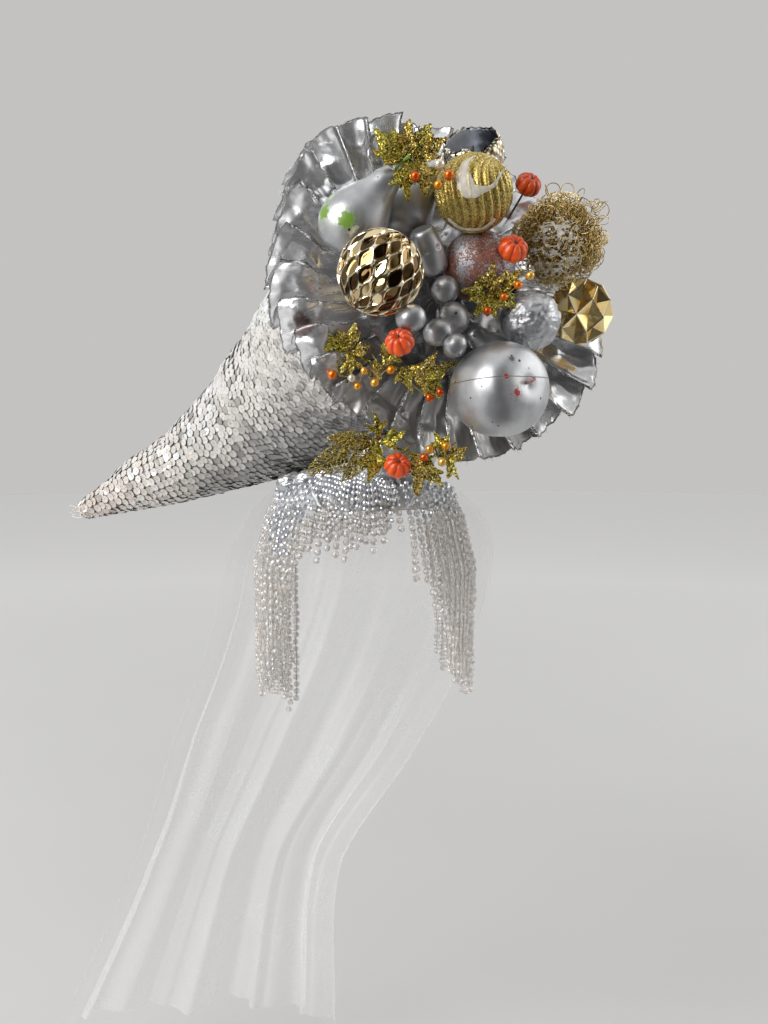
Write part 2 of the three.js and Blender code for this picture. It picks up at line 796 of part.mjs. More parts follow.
const bedRadius = MOUTH.radius - HORN.wall - 2 * GAP;
const BED_PROFILE = [
  { r: 0, h: BED.bulge },
  { r: 0.35, h: BED.bulge * 0.88 },
  { r: 0.65, h: BED.bulge * 0.6 },
  { r: 0.88, h: BED.bulge * 0.24 },
  { r: 0.99, h: 0.3 },
  { r: 0.95, h: -BED.depth },
  { r: 0, h: -BED.depth },
];
const bedRows = BED_PROFILE.map(({ r, h }) => ({ r, h: h / bedRadius }));
const bed = add("mouth_bed", turned(bedRows, bedRadius, BED.around), looks.bed, mouth);
keep(bed);

// Ruffle: a pleated collar standing out from the mouth's edge

function ruffleRing(run, face) {
  const points = [];
  PLEATS.forEach((pleat, index) => {
    const next = PLEATS[(index + 1) % PLEATS.length];
    const nextAt = next.at + (index + 1 === PLEATS.length ? 360 : 0);
    const valley = {
      at: (pleat.at + nextAt) / 2,
      reach: (pleat.reach + next.reach) / 2 - RUFFLE.notch,
      lift: -RUFFLE.sink * (pleat.lift + next.lift) * 0.5,
    };
    for (const fold of [pleat, valley]) {
      const foot = MOUTH.radius - HORN.wall + GAP;
      const radius = foot + (fold.reach - foot) * run;
      const free = Math.max(0, (run - RUFFLE.start) / (1 - RUFFLE.start));
      const lift = RUFFLE.flare * run + fold.lift * free ** RUFFLE.rise;
      const angle = radians(fold.at);
      const height = GAP + RUFFLE.wall * face + lift;
      points.push(new THREE.Vector3(radius * Math.cos(angle), radius * Math.sin(angle), height));
    }
  });
  return points;
}

const ruffleBack = RUFFLE_RUNS.map((run) => ruffleRing(run, 0));
const ruffleFront = RUFFLE_RUNS.map((run) => ruffleRing(run, 1)).reverse();
const ruffleWall = skin([...ruffleBack, ...ruffleFront], { looped: true, back: RUFFLE_RUNS.length });
const ruffle = add("ruffle", ruffleWall, looks.lame, mouth);
keep(ruffle);

// Crown pad: an oval cushion cut to the cap below it, the horn above it and the back of the mouth

const hornBody = skin(hornRows.map((_, index) => hornRing(index, -GAP)));
const capBody = skin([...CAP_LEVELS.map((level) => capRing(level, -GAP))], {
  last: new THREE.Vector3(0, 0, CAP.height + GAP),
});
const mouthFront = new THREE.BoxGeometry(PAD_CLEARING, PAD_CLEARING, PAD_CLEARING);
mouthFront.translate(0, 0, PAD_CLEARING / 2);
mouth.updateMatrix();
mouthFront.applyMatrix4(mouth.matrix);
const cushion = globe(1, PAD.around, PAD.levels)
  .scale(PAD.halfWidth, PAD.halfDepth, PAD.halfHeight)
  .translate(PAD.x, PAD.y, PAD.z);
const pad = add("crown_pad", cut(cushion, [hornBody, capBody, mouthFront]), looks.lame);
keep(pad);

// Fringe: strips of beads fused to a header band round the cap's edge

const around = (at, out, z) => {
  const angle = radians(at);
  return new THREE.Vector3(out * Math.sin(angle), -(out + STRIP.deeper) * Math.cos(angle), z);
};

function drapeAt(z) {
  const row = DRAPE.findIndex((next) => next.z <= z);
  const [upper, lower] = [DRAPE[Math.max(row - 1, 0)], DRAPE[Math.max(row, 1)]];
  return THREE.MathUtils.mapLinear(z, upper.z, lower.z, upper.out, lower.out);
}

function strip({ at, end }) {
  const heights = [...DRAPE.map(({ z }) => z).filter((z) => z > end + STRIP.shortest), end];
  const angle = radians(at);
  const out = new THREE.Vector3(Math.sin(angle), -Math.cos(angle), 0);
  const along = new THREE.Vector3(Math.cos(angle), Math.sin(angle), 0);
  const rings = heights.map((z) => {
    const middle = around(at, drapeAt(z), z);
    const corners = [[1, 0], [0, 1], [-1, 0], [0, -1]];
    return corners.map(([a, o]) =>
      middle.clone().addScaledVector(along, a * STRIP.halfWidth).addScaledVector(out, o * STRIP.halfDepth),
    );
  });
  return skin(rings);
}

// The cap's wall runs straight from the rim to its first level, and the band lies along it
const firstTilt = CAP_LEVELS[1] * Math.PI * 0.5;
const wallShare = (z) => 1 - ((1 - Math.cos(firstTilt)) * z) / (CAP.height * Math.sin(firstTilt));

function band(from, to) {
  const count = Math.ceil((to - from) / BAND.step);
  const rings = [];
  for (let i = 0; i <= count; i += 1) {
    const angle = radians(from + ((to - from) * i) / count);
    const edge = (z, extra) => {
      const x = (CAP.halfWidth * wallShare(z) + extra) * Math.sin(angle);
      const y = -(CAP.halfDepth * wallShare(z) + extra) * Math.cos(angle);
      return new THREE.Vector3(x, y, z);
    };
    const near = BAND.clear;
    const far = BAND.clear + BAND.wall;
    rings.push([edge(BAND.foot, near), edge(BAND.foot, far), edge(BAND.top, far), edge(BAND.top, near)]);
  }
  return skin(rings);
}

for (const { name, strips } of FRINGES) {
  const angles = strips.map(({ at }) => at);
  const header = band(Math.min(...angles) - BAND.overhang, Math.max(...angles) + BAND.overhang);
  const fringe = add(name, fuse([header, ...strips.map(strip)]), looks.beads);
  keep(fringe);
}

// Veil: one gathered sheet behind the head

function veilPoint(level, column) {
  const middle = (level.left + level.right) / 2;
  const half = (level.right - level.left) / 2;
  const share = column / (VEIL.columns - 1);
  const angle = Math.PI * share;
  const out = new THREE.Vector2(-Math.cos(angle), Math.sin(angle));
  const fold = level.fold * Math.sin(share * VEIL.folds * Math.PI * 2);
  const x = middle + (half + fold) * out.x;
  const y = level.ends + (level.back - level.ends + fold) * out.y;
  return new THREE.Vector3(x, y, level.z);
}

// One level of the veil: along its inner face, then back along its outer face
function veilRing(level) {
  const inner = Array.from({ length: VEIL.columns }, (_, column) => veilPoint(level, column));
  const outer = inner.map((point, column) => {
    const before = inner[Math.max(column - 1, 0)];
    const after = inner[Math.min(column + 1, VEIL.columns - 1)];
    const out = new THREE.Vector3(before.y - after.y, after.x - before.x, 0).normalize();
    return point.clone().addScaledVector(out, VEIL.wall);
  });
  return [...inner, ...outer.reverse()];
}

// Closed wall through the levels: both faces are split alike, and the flat ends are filled strip by strip
function sheet(rings) {
  const count = rings[0].length;
  const points = rings.flat();
  const faces = [];
  for (let ring = 0; ring < rings.length - 1; ring += 1) {
    for (let i = 0; i < count; i += 1) {
      const j = (i + 1) % count;
      const [a, b] = [ring * count + i, ring * count + j];
      const [c, d] = [a + count, b + count];
      if (i < count / 2) {
        faces.push(a, b, d, a, d, c);
      } else {
        faces.push(a, b, c, b, d, c);
      }
    }
  }
  const lastRing = (rings.length - 1) * count;
  for (let i = 0; i < count / 2 - 1; i += 1) {
    const [a, b, c, d] = [i, i + 1, count - 2 - i, count - 1 - i];
    faces.push(a, c, b, a, d, c);
    faces.push(lastRing + a, lastRing + b, lastRing + c, lastRing + a, lastRing + c, lastRing + d);
  }
  const geometry = new THREE.BufferGeometry().setFromPoints(points);
  geometry.setIndex(faces);
  return outward(geometry);
}

const veil = add("veil", sheet(VEIL_LEVELS.map(veilRing)), looks.tulle);
keep(veil);

// Ornaments, sprays and berries, each settled on what was set in before it

function ornament({ name, form, x, z, radius, roll, lean, spin = 0 }) {
  const mesh = add(name, forms[form](radius), ornamentLooks[form]);
  mesh.position.set(x, 0, z);
  mesh.rotation.set(radians(lean), radians(roll), radians(spin), "YXZ");
  settle(mesh);
  return mesh;
}

function leaf({ x, z, turn, length, width }) {
  const rings = LEAF_SECTIONS.map(({ at, wide }) => {
    const bow = -length * LEAF.bow * Math.sin(at * Math.PI);
    const half = (width * wide) / 2;
    const thick = LEAF.thickness / 2;
    const along = at * length;
    return [
      new THREE.Vector3(along, bow, half),
      new THREE.Vector3(along, bow - thick, 0),
      new THREE.Vector3(along, bow, -half),
      new THREE.Vector3(along, bow + thick, 0),
    ];
  });
  const tip = new THREE.Vector3(length, 0, 0);
  const blade = skin(rings, { first: new THREE.Vector3(LEAF.root, 0, 0), last: tip });
  return blade.rotateZ(radians(-LEAF.lift)).rotateY(radians(-turn)).translate(x, 0, z);
}

function spray({ name, x, z, stem, leaves }) {
  const line = stem.map((point) => new THREE.Vector3(point.x, 0, point.z));
  const branch = bar(line, SPRAY_STEM_RADIUS, 4, line.length + 1);
  const mesh = add(name, fuse([branch, ...leaves.map(leaf)]), looks.leaf);
  mesh.position.set(x, 0, z);
  settle(mesh);
}

function sprig({ name, x, z, berries }) {
  const line = berries.map((berry) => new THREE.Vector3(berry.x, 0, berry.z));
  const wire = bar(line, BERRY_WIRE_RADIUS, 3, berries.length * 2);
  const balls = berries.map((berry) => globe(berry.radius, 6, 4).translate(berry.x, 0, berry.z));
  const mesh = add(name, fuse([wire, ...balls]), looks.berry);
  mesh.position.set(x, 0, z);
  settle(mesh);
}

const placed = new Map();
for (const row of ORNAMENTS) {
  placed.set(row.name, ornament(row));
}

// Stems stand on the end of their own fruit, along its axis
const STEMS = [
  { name: "pear_stem", fruit: "pear", foot: 1.9, length: 15, radius: 1.6, bend: 3 },
  { name: "apple_stem", fruit: "apple", foot: 0.63, length: 19, radius: 1.5, bend: -4 },
];

for (const { name, fruit, foot, length, radius, bend } of STEMS) {
  const mesh = placed.get(fruit);
  const size = ORNAMENTS.find((row) => row.name === fruit).radius;
  const start = foot * size + GAP;
  const points = [0, 0.5, 1].map((share) => new THREE.Vector3(bend * share ** 2, 0, start + length * share));
  const stem = add(name, welded(bar(points, radius, 6, 3)), looks.stem);
  stem.position.copy(mesh.position);
  stem.rotation.copy(mesh.rotation);
  keep(stem);
}

for (const row of SPRAYS) {
  spray(row);
}
for (const row of LATE_ORNAMENTS) {
  ornament(row);
}
for (const row of BERRY_SPRIGS) {
  sprig(row);
}

export default headdress;
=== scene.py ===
# Looks of a cornucopia headdress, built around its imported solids.
# Shapes are worked out in millimetres in the part's own frame, and piece() turns them into metres.
# +X is the wearer's left, -Y is the front, +Z is up.

import math

import bpy
import numpy as np
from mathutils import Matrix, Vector

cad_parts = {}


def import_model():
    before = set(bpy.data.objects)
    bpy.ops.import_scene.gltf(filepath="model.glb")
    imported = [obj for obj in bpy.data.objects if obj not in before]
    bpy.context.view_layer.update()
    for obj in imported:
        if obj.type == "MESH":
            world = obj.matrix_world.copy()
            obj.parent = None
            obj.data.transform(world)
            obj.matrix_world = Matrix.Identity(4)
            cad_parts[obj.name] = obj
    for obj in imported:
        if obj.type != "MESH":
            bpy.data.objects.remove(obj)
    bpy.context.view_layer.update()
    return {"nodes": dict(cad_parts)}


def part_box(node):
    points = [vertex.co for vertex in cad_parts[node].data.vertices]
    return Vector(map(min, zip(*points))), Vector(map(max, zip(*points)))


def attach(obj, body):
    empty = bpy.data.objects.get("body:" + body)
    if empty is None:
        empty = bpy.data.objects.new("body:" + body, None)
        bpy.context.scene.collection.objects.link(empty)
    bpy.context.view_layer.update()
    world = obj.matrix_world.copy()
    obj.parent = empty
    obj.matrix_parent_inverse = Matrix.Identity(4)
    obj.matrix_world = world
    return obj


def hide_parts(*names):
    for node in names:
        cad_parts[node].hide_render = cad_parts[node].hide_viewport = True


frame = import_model()

MM = 0.001
TAU = 2 * math.pi

# Sizes, repeated from the part's source

CAP = {"half_width": 86, "half_depth": 98, "height": 36, "wall": 2.4}

# Horn's centre line from tail to mouth: x, y, z, radius, and how far a section faces as the mouth does
HORN_ROWS = [
    (-289, 62, -12, 10, 0), (-259, 59, 1, 18, 0), (-230, 55, 15, 27, 0), (-187, 49, 33, 36.5, 0),
    (-144, 41, 57, 50, 0), (-110, 33, 77, 62, 0), (-87, 25, 93, 72, 0), (-48, 8, 118, 87, 0),
    (8, -24, 162, 104, 0.4), (62, -60, 196, 115, 1),
]
HORN_TIP = 9
HORN_WALL = 2.4
MOUTH = {"place": (62, -60, 196), "yaw": 24, "pitch": 12}

# Ruffle's pleats: angle round the mouth, reach from the mouth's middle, lift of the crest
PLEATS = [
    (2, 168, 9), (14, 160, 11), (27, 154, 8), (39, 152, 12), (51, 155, 9), (63, 161, 11),
    (75, 166, 8), (86, 169, 12), (98, 166, 10), (109, 168, 13), (120, 170, 9), (131, 170, 12),
    (142, 167, 10), (154, 164, 13), (166, 162, 9), (178, 162, 12), (190, 158, 9), (201, 151, 11),
    (213, 149, 8), (225, 144, 11), (237, 139, 9), (249, 142, 12), (260, 148, 9), (272, 157, 12),
    (283, 160, 10), (295, 164, 13), (307, 165, 9), (319, 172, 12), (332, 180, 10), (345, 184, 12),
]

# Veil: height, left and right end, depth of the ends, depth of the back, depth of the folds
VEIL_ROWS = [
    (16, -75.6, 75.6, 16, 87.3, 0), (14, -90, 90, 18, 104, 1), (-10, -114, 120, 26, 124, 3),
    (-60, -142, 136, 48, 140, 7), (-150, -164, 118, 66, 152, 10), (-270, -207, 62, 84, 162, 13),
    (-420, -255, -30, 92, 168, 16), (-610, -340, -36, 96, 170, 19),
]

# Fringe: how far out the strands hang at each height
DRAPE_ROWS = [(7, 85.5), (-10, 95), (-60, 107), (-210, 105)]
DEEPER = 11

# Turned forms as rows of radius and height, and the heights of both ends, all as shares of the size
PEAR = [
    (0.2, -0.93), (0.6, -0.8), (0.92, -0.4), (1, 0), (0.93, 0.42), (0.72, 0.85), (0.5, 1.25), (0.4, 1.6),
    (0.26, 1.84),
], (-0.84, 1.9)
APPLE = [
    (0.2, -0.88), (0.45, -0.92), (0.72, -0.75), (0.93, -0.4), (1, 0.05), (0.96, 0.42), (0.78, 0.74),
    (0.52, 0.87), (0.3, 0.905), (0.15, 0.89), (0.05, 0.86),
], (-0.82, 0.85)
GOURD = [
    (0.6, -1.5), (0.95, -1.1), (1, 0), (0.99, 0.3), (0.92, 0.9), (0.8, 1.4), (0.62, 1.58), (0.4, 1.56),
], (-1.6, 1.45)
GRAPE = [
    (0.3, -1.05), (0.55, -0.92), (0.93, -0.4), (1, 0.1), (0.82, 0.68), (0.45, 1.02), (0.18, 1.1),
], (-1.1, 1.04)

# Leaf sprays: x, z, turn seen from the front, length and width of each leaf, from the spray's own middle
SPRAYS = {
    "spray_top": {
        "middle": (39, 301),
        "stem": [(-6, -2), (2, 2), (9, 0)],
        "leaves": [
            (0, 1, 140, 36, 17), (2, 2, 92, 30, 15), (5, 2, 62, 30, 14), (8, 0, 36, 30, 14),
            (-4, -1, 162, 26, 12), (-1, -1, 256, 25, 12), (1, 0, 268, 37, 15), (6, 0, 286, 32, 14),
        ],
    },
    "spray_mid": {
        "middle": (113, 190),
        "stem": [(-5, -2), (2, 0), (8, 4)],
        "leaves": [
            (3, 1, 98, 32, 11), (-4, -1, 168, 24, 12), (-3, -1, 232, 22, 12), (1, 0, 272, 19, 12),
            (4, 1, 325, 21, 13), (7, 3, 44, 27, 11),
        ],
    },
    "spray_low": {
        "middle": (25, 129),
        "stem": [(-40, 15), (-17, 4), (7, 0), (28, -2)],
        "leaves": [
            (-39, 14, 72, 26, 12), (-39, 14, 146, 25, 11), (-38, 13, 268, 28, 9), (-34, 11, 24, 17, 11),
            (-15, 3, 294, 16, 9), (-6, 1, 54, 27, 12), (9, 0, 294, 26, 9), (14, -1, 7, 44, 14),
            (20, -1, 311, 35, 17),
        ],
    },
    "spray_cap": {
        "middle": (22, 51),
        "stem": [(-12, 13), (10, 6), (32, 0), (52, 0)],
        "leaves": [
            (-11, 12, 203, 66, 26), (-11, 12, 174, 42, 16), (-11, 11, 229, 44, 16), (-9, 11, 256, 36, 13),
            (-9, 12, 97, 27, 8), (-6, 11, 26, 25, 10), (23, 2, 274, 38, 13), (33, 0, 300, 32, 10),
            (49, 0, 112, 23, 9), (51, 0, 22, 21, 8), (50, 0, 302, 24, 8),
        ],
    },
}
LEAF_LIFT = 8

# Berry sprigs: x, z, radius and tint of each berry, from the sprig's own middle
# Tint runs from red to gold to pearl
SPRIGS = {
    "berries_top": {
        "middle": (65, 290),
        "berries": [(-20, -5, 4, 0.1), (-1, -12, 3.8, 0.55), (8, -4, 4.2, 0.2), (0, 5, 4.4, 1)],
    },
    "berries_mid": {
        "middle": (128, 196),
        "berries": [(-20, -20, 3.6, 0.1), (-6, -8, 3.4, 0.3), (6, 2, 3.8, 0.35), (16, 10, 3.8, 0.8)],
    },
    "berries_low": {
        "middle": (10, 118),
        "berries": [
            (-36, 4, 4.2, 0.3), (-19, 1, 3.6, 1), (-14, -6, 3.4, 0.6), (-8, 7, 3.6, 0.75),
            (1, -3, 3.8, 0.7), (15, 8, 3.8, 0.45), (49, -16, 3.8, 0.1), (58, -11, 3.6, 0.05),
        ],
    },
    "berries_cap": {
        "middle": (60, 53),
        "berries": [(-6, -3, 3.8, 0.15), (-1, 4, 3.8, 0.65), (10, -7, 3.8, 0.8), (13, 7, 3.8, 0.6)],
    },
}

# Numbers and shapes

# Primes that mix the place of a noise cell, and its seed, into one number
CELL_PRIMES = (374761393, 668265263, 2147483647)
SEED_PRIME = 1274126177

# First seed of the random draws for each kind of piece
SEEDS = {
    "pleats": 5, "sequins": 11, "fray": 17, "mirror": 71, "chips": 97, "wire": 101, "leaves": 131,
    "berries": 151, "beads": 171,
}

# Points around and rows of each round form's mesh
MESH = {
    "horn": (72, 48), "bed": (120, 40), "cap": (128, 22), "gather": (48, 32), "bead": (10, 6),
    "large_fruit": (80, 48), "small_fruit": (60, 36), "glitter": (240, 56), "rust": (96, 64),
    "foil": (120, 80), "pumpkin": (96, 36), "berry": (20, 14),
}


def draws(name, step=0):
    return np.random.default_rng(SEEDS[name] + step)


def unit(vectors):
    return vectors / np.linalg.norm(vectors, axis=-1, keepdims=True)


def bell(value, middle, width):
    """1 at the middle, falling to 0 on both sides."""
    return np.exp(-(((value - middle) / width) ** 2))


def steps(count):
    """Even angles round a turn."""
    return np.arange(count) / count * TAU


def xyz(x, y, z):
    return np.stack(np.broadcast_arrays(x, y, z), axis=-1)


def polar(radius, angle, z):
    return xyz(radius * np.cos(angle), radius * np.sin(angle), z)


def oval(wide, deep, angle, z):
    """Points by their angle from the front toward the wearer's left."""
    return xyz(wide * np.sin(angle), -deep * np.cos(angle), z)


def spokes(side, up, angle):
    """Ways out from an axis, by their angle from its side toward its upper side."""
    return side * np.cos(angle)[..., None] + up * np.sin(angle)[..., None]


def node_box(node):
    """Lowest and highest corner of a solid, in millimetres."""
    low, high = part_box(node)
    return np.array(low) / MM, np.array(high) / MM


def node_ball(node):
    """Middle of a solid, and half its greatest side."""
    low, high = node_box(node)
    return (low + high) / 2, (high - low).max() / 2


def spline(rows, at):
    """Smooth line through rows of numbers, at places counted in rows."""
    rows = np.asarray(rows, float)
    at = np.clip(np.asarray(at, float), 0, len(rows) - 1)
    start = np.minimum(at.astype(int), len(rows) - 2)
    part = (at - start)[..., None]
    ends = np.vstack([2 * rows[0] - rows[1], rows, 2 * rows[-1] - rows[-2]])
    p0, p1, p2, p3 = (ends[start + k] for k in range(4))
    cubic = 3 * (p1 - p2) + p3 - p0
    square = 2 * p0 - 5 * p1 + 4 * p2 - p3
    return p1 + 0.5 * part * (p2 - p0 + part * (square + part * cubic))


def smooth_line(rows, count):
    """A number of points along the whole of a smooth line."""
    return spline(rows, np.linspace(0, len(rows) - 1, count))


def run(line):
    """How far along a line each of its points lies."""
    return np.concatenate([[0], np.cumsum(np.linalg.norm(np.diff(line, axis=0), axis=1))])


def wobble(points, size, seed):
    """Smooth noise from -1 to 1 at each point, with cells of the given size."""
    cell = np.asarray(points, float) / size
    base = np.floor(cell).astype(np.int64)
    part = cell - base
    part = part * part * (3 - 2 * part)
    total = np.zeros(cell.shape[:-1])
    for corner in np.ndindex(2, 2, 2):
        mixed = ((base + np.array(corner)) * np.array(CELL_PRIMES)).sum(-1) + seed * SEED_PRIME
        mixed = ((mixed ^ (mixed >> 13)) * SEED_PRIME) & 0xFFFFFFFF
        value = ((mixed >> 8) & 0xFFFF) / 32767.5 - 1
        total += value * np.prod(np.where(np.array(corner) == 1, part, 1 - part), axis=-1)
    return total


def crease(points, size, seed):
    """Sharp folds from 0 to 1, as in crumpled foil: high along thin lines."""
    coarse = 1 - np.abs(wobble(points, size, seed))
    fine = 1 - np.abs(wobble(points, size * 0.45, seed + 1))
    return 0.7 * coarse**2 + 0.3 * fine**2


def turn(roll=0, lean=0, spin=0):
    """Turns a form as the part's source does: spin on its axis, lean to the front, roll to +X."""
    result = np.eye(3)
    for degrees, a, b in ((roll, 2, 0), (lean, 1, 2), (spin, 0, 1)):
        angle = math.radians(degrees)
        about = np.eye(3)
        about[a, a] = about[b, b] = math.cos(angle)
        about[a, b], about[b, a] = -math.sin(angle), math.sin(angle)
        result = result @ about
    return result


def seat(points, node, roll=0, lean=0, spin=0, guide=None):
    """A form turned and set where its solid is. A guide fills the solid's box, if the form doesn't."""
    axes = turn(roll, lean, spin).T
    low, high = node_box(node)
    turned = (points if guide is None else guide) @ axes
    return points @ axes + (low + high) / 2 - (turned.min(0) + turned.max(0)) / 2


def grid(rows, columns, wrap=False):
    """Quads over a grid of points in row order. Wrap joins the last column to the first."""
    row, column = np.mgrid[0 : rows - 1, 0 : columns if wrap else columns - 1]
    start, after = row * columns, (column + 1) % columns
    corners = [start + column, start + after, start + columns + after, start + columns + column]
    return np.stack(corners, axis=-1).reshape(-1, 4)


def skin(rings, first=None, last=None):
    """Points and faces of a skin through closed rings, its ends drawn to a point each."""
    rows, columns = rings.shape[:2]
    points = rings.reshape(-1, 3)
    faces = [grid(rows, columns, wrap=True)]
    here = np.arange(columns)
    after = (here + 1) % columns
    start = (rows - 1) * columns
    for end, a, b in ((first, after, here), (last, start + here, start + after)):
        if end is not None:
            points = np.vstack([points, end])
            faces.append(np.stack([np.full(columns, len(points) - 1), a, b], axis=1))
    return points, faces


def wall(front, back, wrap=False):
    """Points and faces of a closed sheet between two grids of points."""
    rows, columns = front.shape[:2]
    points = np.concatenate([front.reshape(-1, 3), back.reshape(-1, 3)])
    size = rows * columns
    faces = [grid(rows, columns, wrap), grid(rows, columns, wrap)[:, ::-1] + size]
    index = np.arange(size).reshape(rows, columns)
    edges = [index[-1], index[0][::-1]]
    if wrap:
        edges = [np.append(edge, edge[0]) for edge in edges]
    else:
        edges += [index[::-1, -1], index[:, 0]]
    for edge in edges:
        faces.append(np.stack([edge[1:], edge[:-1], edge[:-1] + size, edge[1:] + size], axis=1))
    return points, faces


def outward(surface, wrap):
    """Normals of a grid of points."""
    along = np.gradient(surface, axis=0)
    if wrap:
        across = np.roll(surface, -1, axis=1) - np.roll(surface, 1, axis=1)
    else:
        across = np.gradient(surface, axis=1)
    return unit(np.cross(along, across) + 1e-9)


def thick(surface, depth, wrap=False):
    """A closed sheet of the given thickness about a grid of points."""
    out = outward(surface, wrap)
    return wall(surface + out * depth / 2, surface - out * depth / 2, wrap)


def tube(path, radius, sides):
    """A round bar along a line of points. The radius may be one for each point."""
    path = np.asarray(path, float)
    along = unit(np.gradient(path, axis=0))
    side = np.empty_like(path)
    across = np.cross(along[0], np.eye(3)[np.abs(along[0]).argmin()])
    for i, heading in enumerate(along):
        across = across - heading * (across @ heading)
        across /= np.linalg.norm(across)
        side[i] = across
    lift = np.cross(along, side)
    ring = spokes(side[:, None], lift[:, None], steps(sides))
    rings = path[:, None] + np.broadcast_to(radius, len(path))[:, None, None] * ring
    return skin(rings, path[0], path[-1])


def lathe(profile, ends, size, around, rows):
    """A turned form about +Z from rows of radius and height."""
    line = smooth_line(profile, rows) * size
    return skin(polar(line[:, :1], steps(around), line[:, 1:]), *([0, 0, end * size] for end in ends))


def ball(radius, around, levels):
    tilt = np.arange(1, levels)[:, None] / levels * math.pi
    rings = polar(np.sin(tilt), steps(around), -np.cos(tilt))
    return skin(rings * radius, [0, 0, -radius], [0, 0, radius])


def scatter(points, faces, frames, places):
    """Copies of a small form, each turned by its own axes and set at its own place."""
    spread = np.einsum("nij,kj->nki", frames, points) + places[:, None, :]
    starts = np.arange(len(places)) * len(points)
    copies = [(group[None] + starts[:, None, None]).reshape(-1, group.shape[1]) for group in faces]
    return spread.reshape(-1, 3), copies


def volume(points, faces):
    total = 0
    for group in faces:
        a = points[group[:, 0]]
        for k in range(2, group.shape[1]):
            total += np.einsum("ij,ij->i", a, np.cross(points[group[:, k - 1]], points[group[:, k]])).sum()
    return total


class Shape:
    """Points and faces that become one piece, with values on the points for its materials."""

    def __init__(self):
        self.points, self.faces, self.marks, self.values, self.count = [], [], [], [], 0

    def add(self, points, faces, mark=0, tint=0.0, hub=0.0):
        """Adds a closed form, its faces turned outward. Mark picks the material."""
        points = np.asarray(points, float)
        if volume(points - points.mean(0), faces) < 0:
            faces = [group[:, ::-1] for group in faces]
        self.points.append(points)
        for group in faces:
            self.faces.append(group + self.count)
            self.marks.append(np.full(len(group), mark))
        self.values.append(np.stack([np.broadcast_to(value, len(points)) for value in (tint, hub)], axis=1))
        self.count += len(points)
        return self


def link(name, data):
    made = bpy.data.objects.new(name, data)
    bpy.context.scene.collection.objects.link(made)
    return made


def carry(made, replaces):
    """Sets a piece on the one body, and hides the solids that it stands for."""
    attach(made, "root")
    if replaces:
        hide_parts(*replaces)
    return made


def piece(name, shape, looks, replaces=(), smooth=True):
    """Makes an object of a shape, riding on the one body."""
    sizes = np.concatenate([np.full(len(group), group.shape[1]) for group in shape.faces])
    corners = np.concatenate([group.ravel() for group in shape.faces])
    points = np.concatenate(shape.points) * MM
    mesh = bpy.data.meshes.new(name)
    mesh.vertices.add(len(points))
    mesh.vertices.foreach_set("co", points.astype(np.float32).ravel())
    mesh.loops.add(len(corners))
    mesh.loops.foreach_set("vertex_index", corners.astype(np.int32))
    mesh.polygons.add(len(sizes))
    mesh.polygons.foreach_set("loop_start", (np.cumsum(sizes) - sizes).astype(np.int32))
    mesh.polygons.foreach_set("material_index", np.concatenate(shape.marks).astype(np.int32))
    mesh.polygons.foreach_set("use_smooth", np.full(len(sizes), smooth))
    values = np.concatenate(shape.values).astype(np.float32)
    for column, key in enumerate(("tint", "hub")):
        attribute = mesh.attributes.new(key, "FLOAT", "POINT")
        attribute.data.foreach_set("value", np.ascontiguousarray(values[:, column]))
    for look in looks:
        mesh.materials.append(look.material)
    mesh.update(calc_edges=True)
    mesh.validate()
    return carry(link(name, mesh), replaces)


def dress(name, node, form, look, slot, turned=(), smooth=True, **values):
    """A form set where one solid is, in place of it."""
    points, faces = form
    shape = Shape().add(seat(points, node, *turned), faces, **values)
    piece(name, shape, [look], [node], smooth)


# Materials


class Graph:
    """A node tree, with short calls for the nodes that are used here."""

    def __init__(self, tree):
        self.nodes, self.links = tree.nodes, tree.links

    def feed(self, socket, value):
        if isinstance(value, bpy.types.NodeSocket):
            self.links.new(value, socket)
        elif isinstance(value, tuple) and len(value) == 3 and socket.type == "RGBA":
            socket.default_value = (*value, 1)
        else:
            socket.default_value = value

    def node(self, kind, inputs, output=0, **settings):
        made = self.nodes.new("ShaderNode" + kind)
        for key, value in settings.items():
            setattr(made, key, value)
        for key, value in inputs.items():
            self.feed(made.inputs[key], value)
        return made.outputs[output]

    def math(self, operation, *values):
        return self.node("Math", dict(enumerate(values)), operation=operation)

    def vector(self, operation, *values, output=0):
        return self.node("VectorMath", dict(enumerate(values)), output, operation=operation)

    def axis(self, vector, name):
        return self.node("SeparateXYZ", {0: vector}, name)

    def ramp(self, value, *stops):
        """Colours or greys by value: each stop is a position and a colour or a number."""
        made = self.nodes.new("ShaderNodeValToRGB")
        self.feed(made.inputs[0], value)
        band = made.color_ramp.elements
        while len(band) < len(stops):
            band.new(0.5)
        for element, (at, colour) in zip(band, stops):
            element.position = at
            element.color = (*colour, 1) if isinstance(colour, tuple) else (colour, colour, colour, 1)
        return made.outputs["Color"]

    def mix(self, share, a, b, **settings):
        return self.node("Mix", {0: share, 6: a, 7: b}, 2, data_type="RGBA", **settings)

    def room(self, way):
        """Light of the room each way round: pale behind and to the sides, dark where the front faces."""
        side = self.math("ABSOLUTE", self.axis(way, "X"))
        behind = self.math("MULTIPLY_ADD", self.axis(way, "Y"), 0.5, 0.5)
        share = self.math("MULTIPLY_ADD", side, 0.18, behind)
        return self.ramp(share, (0.08, 0.04), (0.22, 0.09), (0.4, 0.5), (0.9, 0.6))


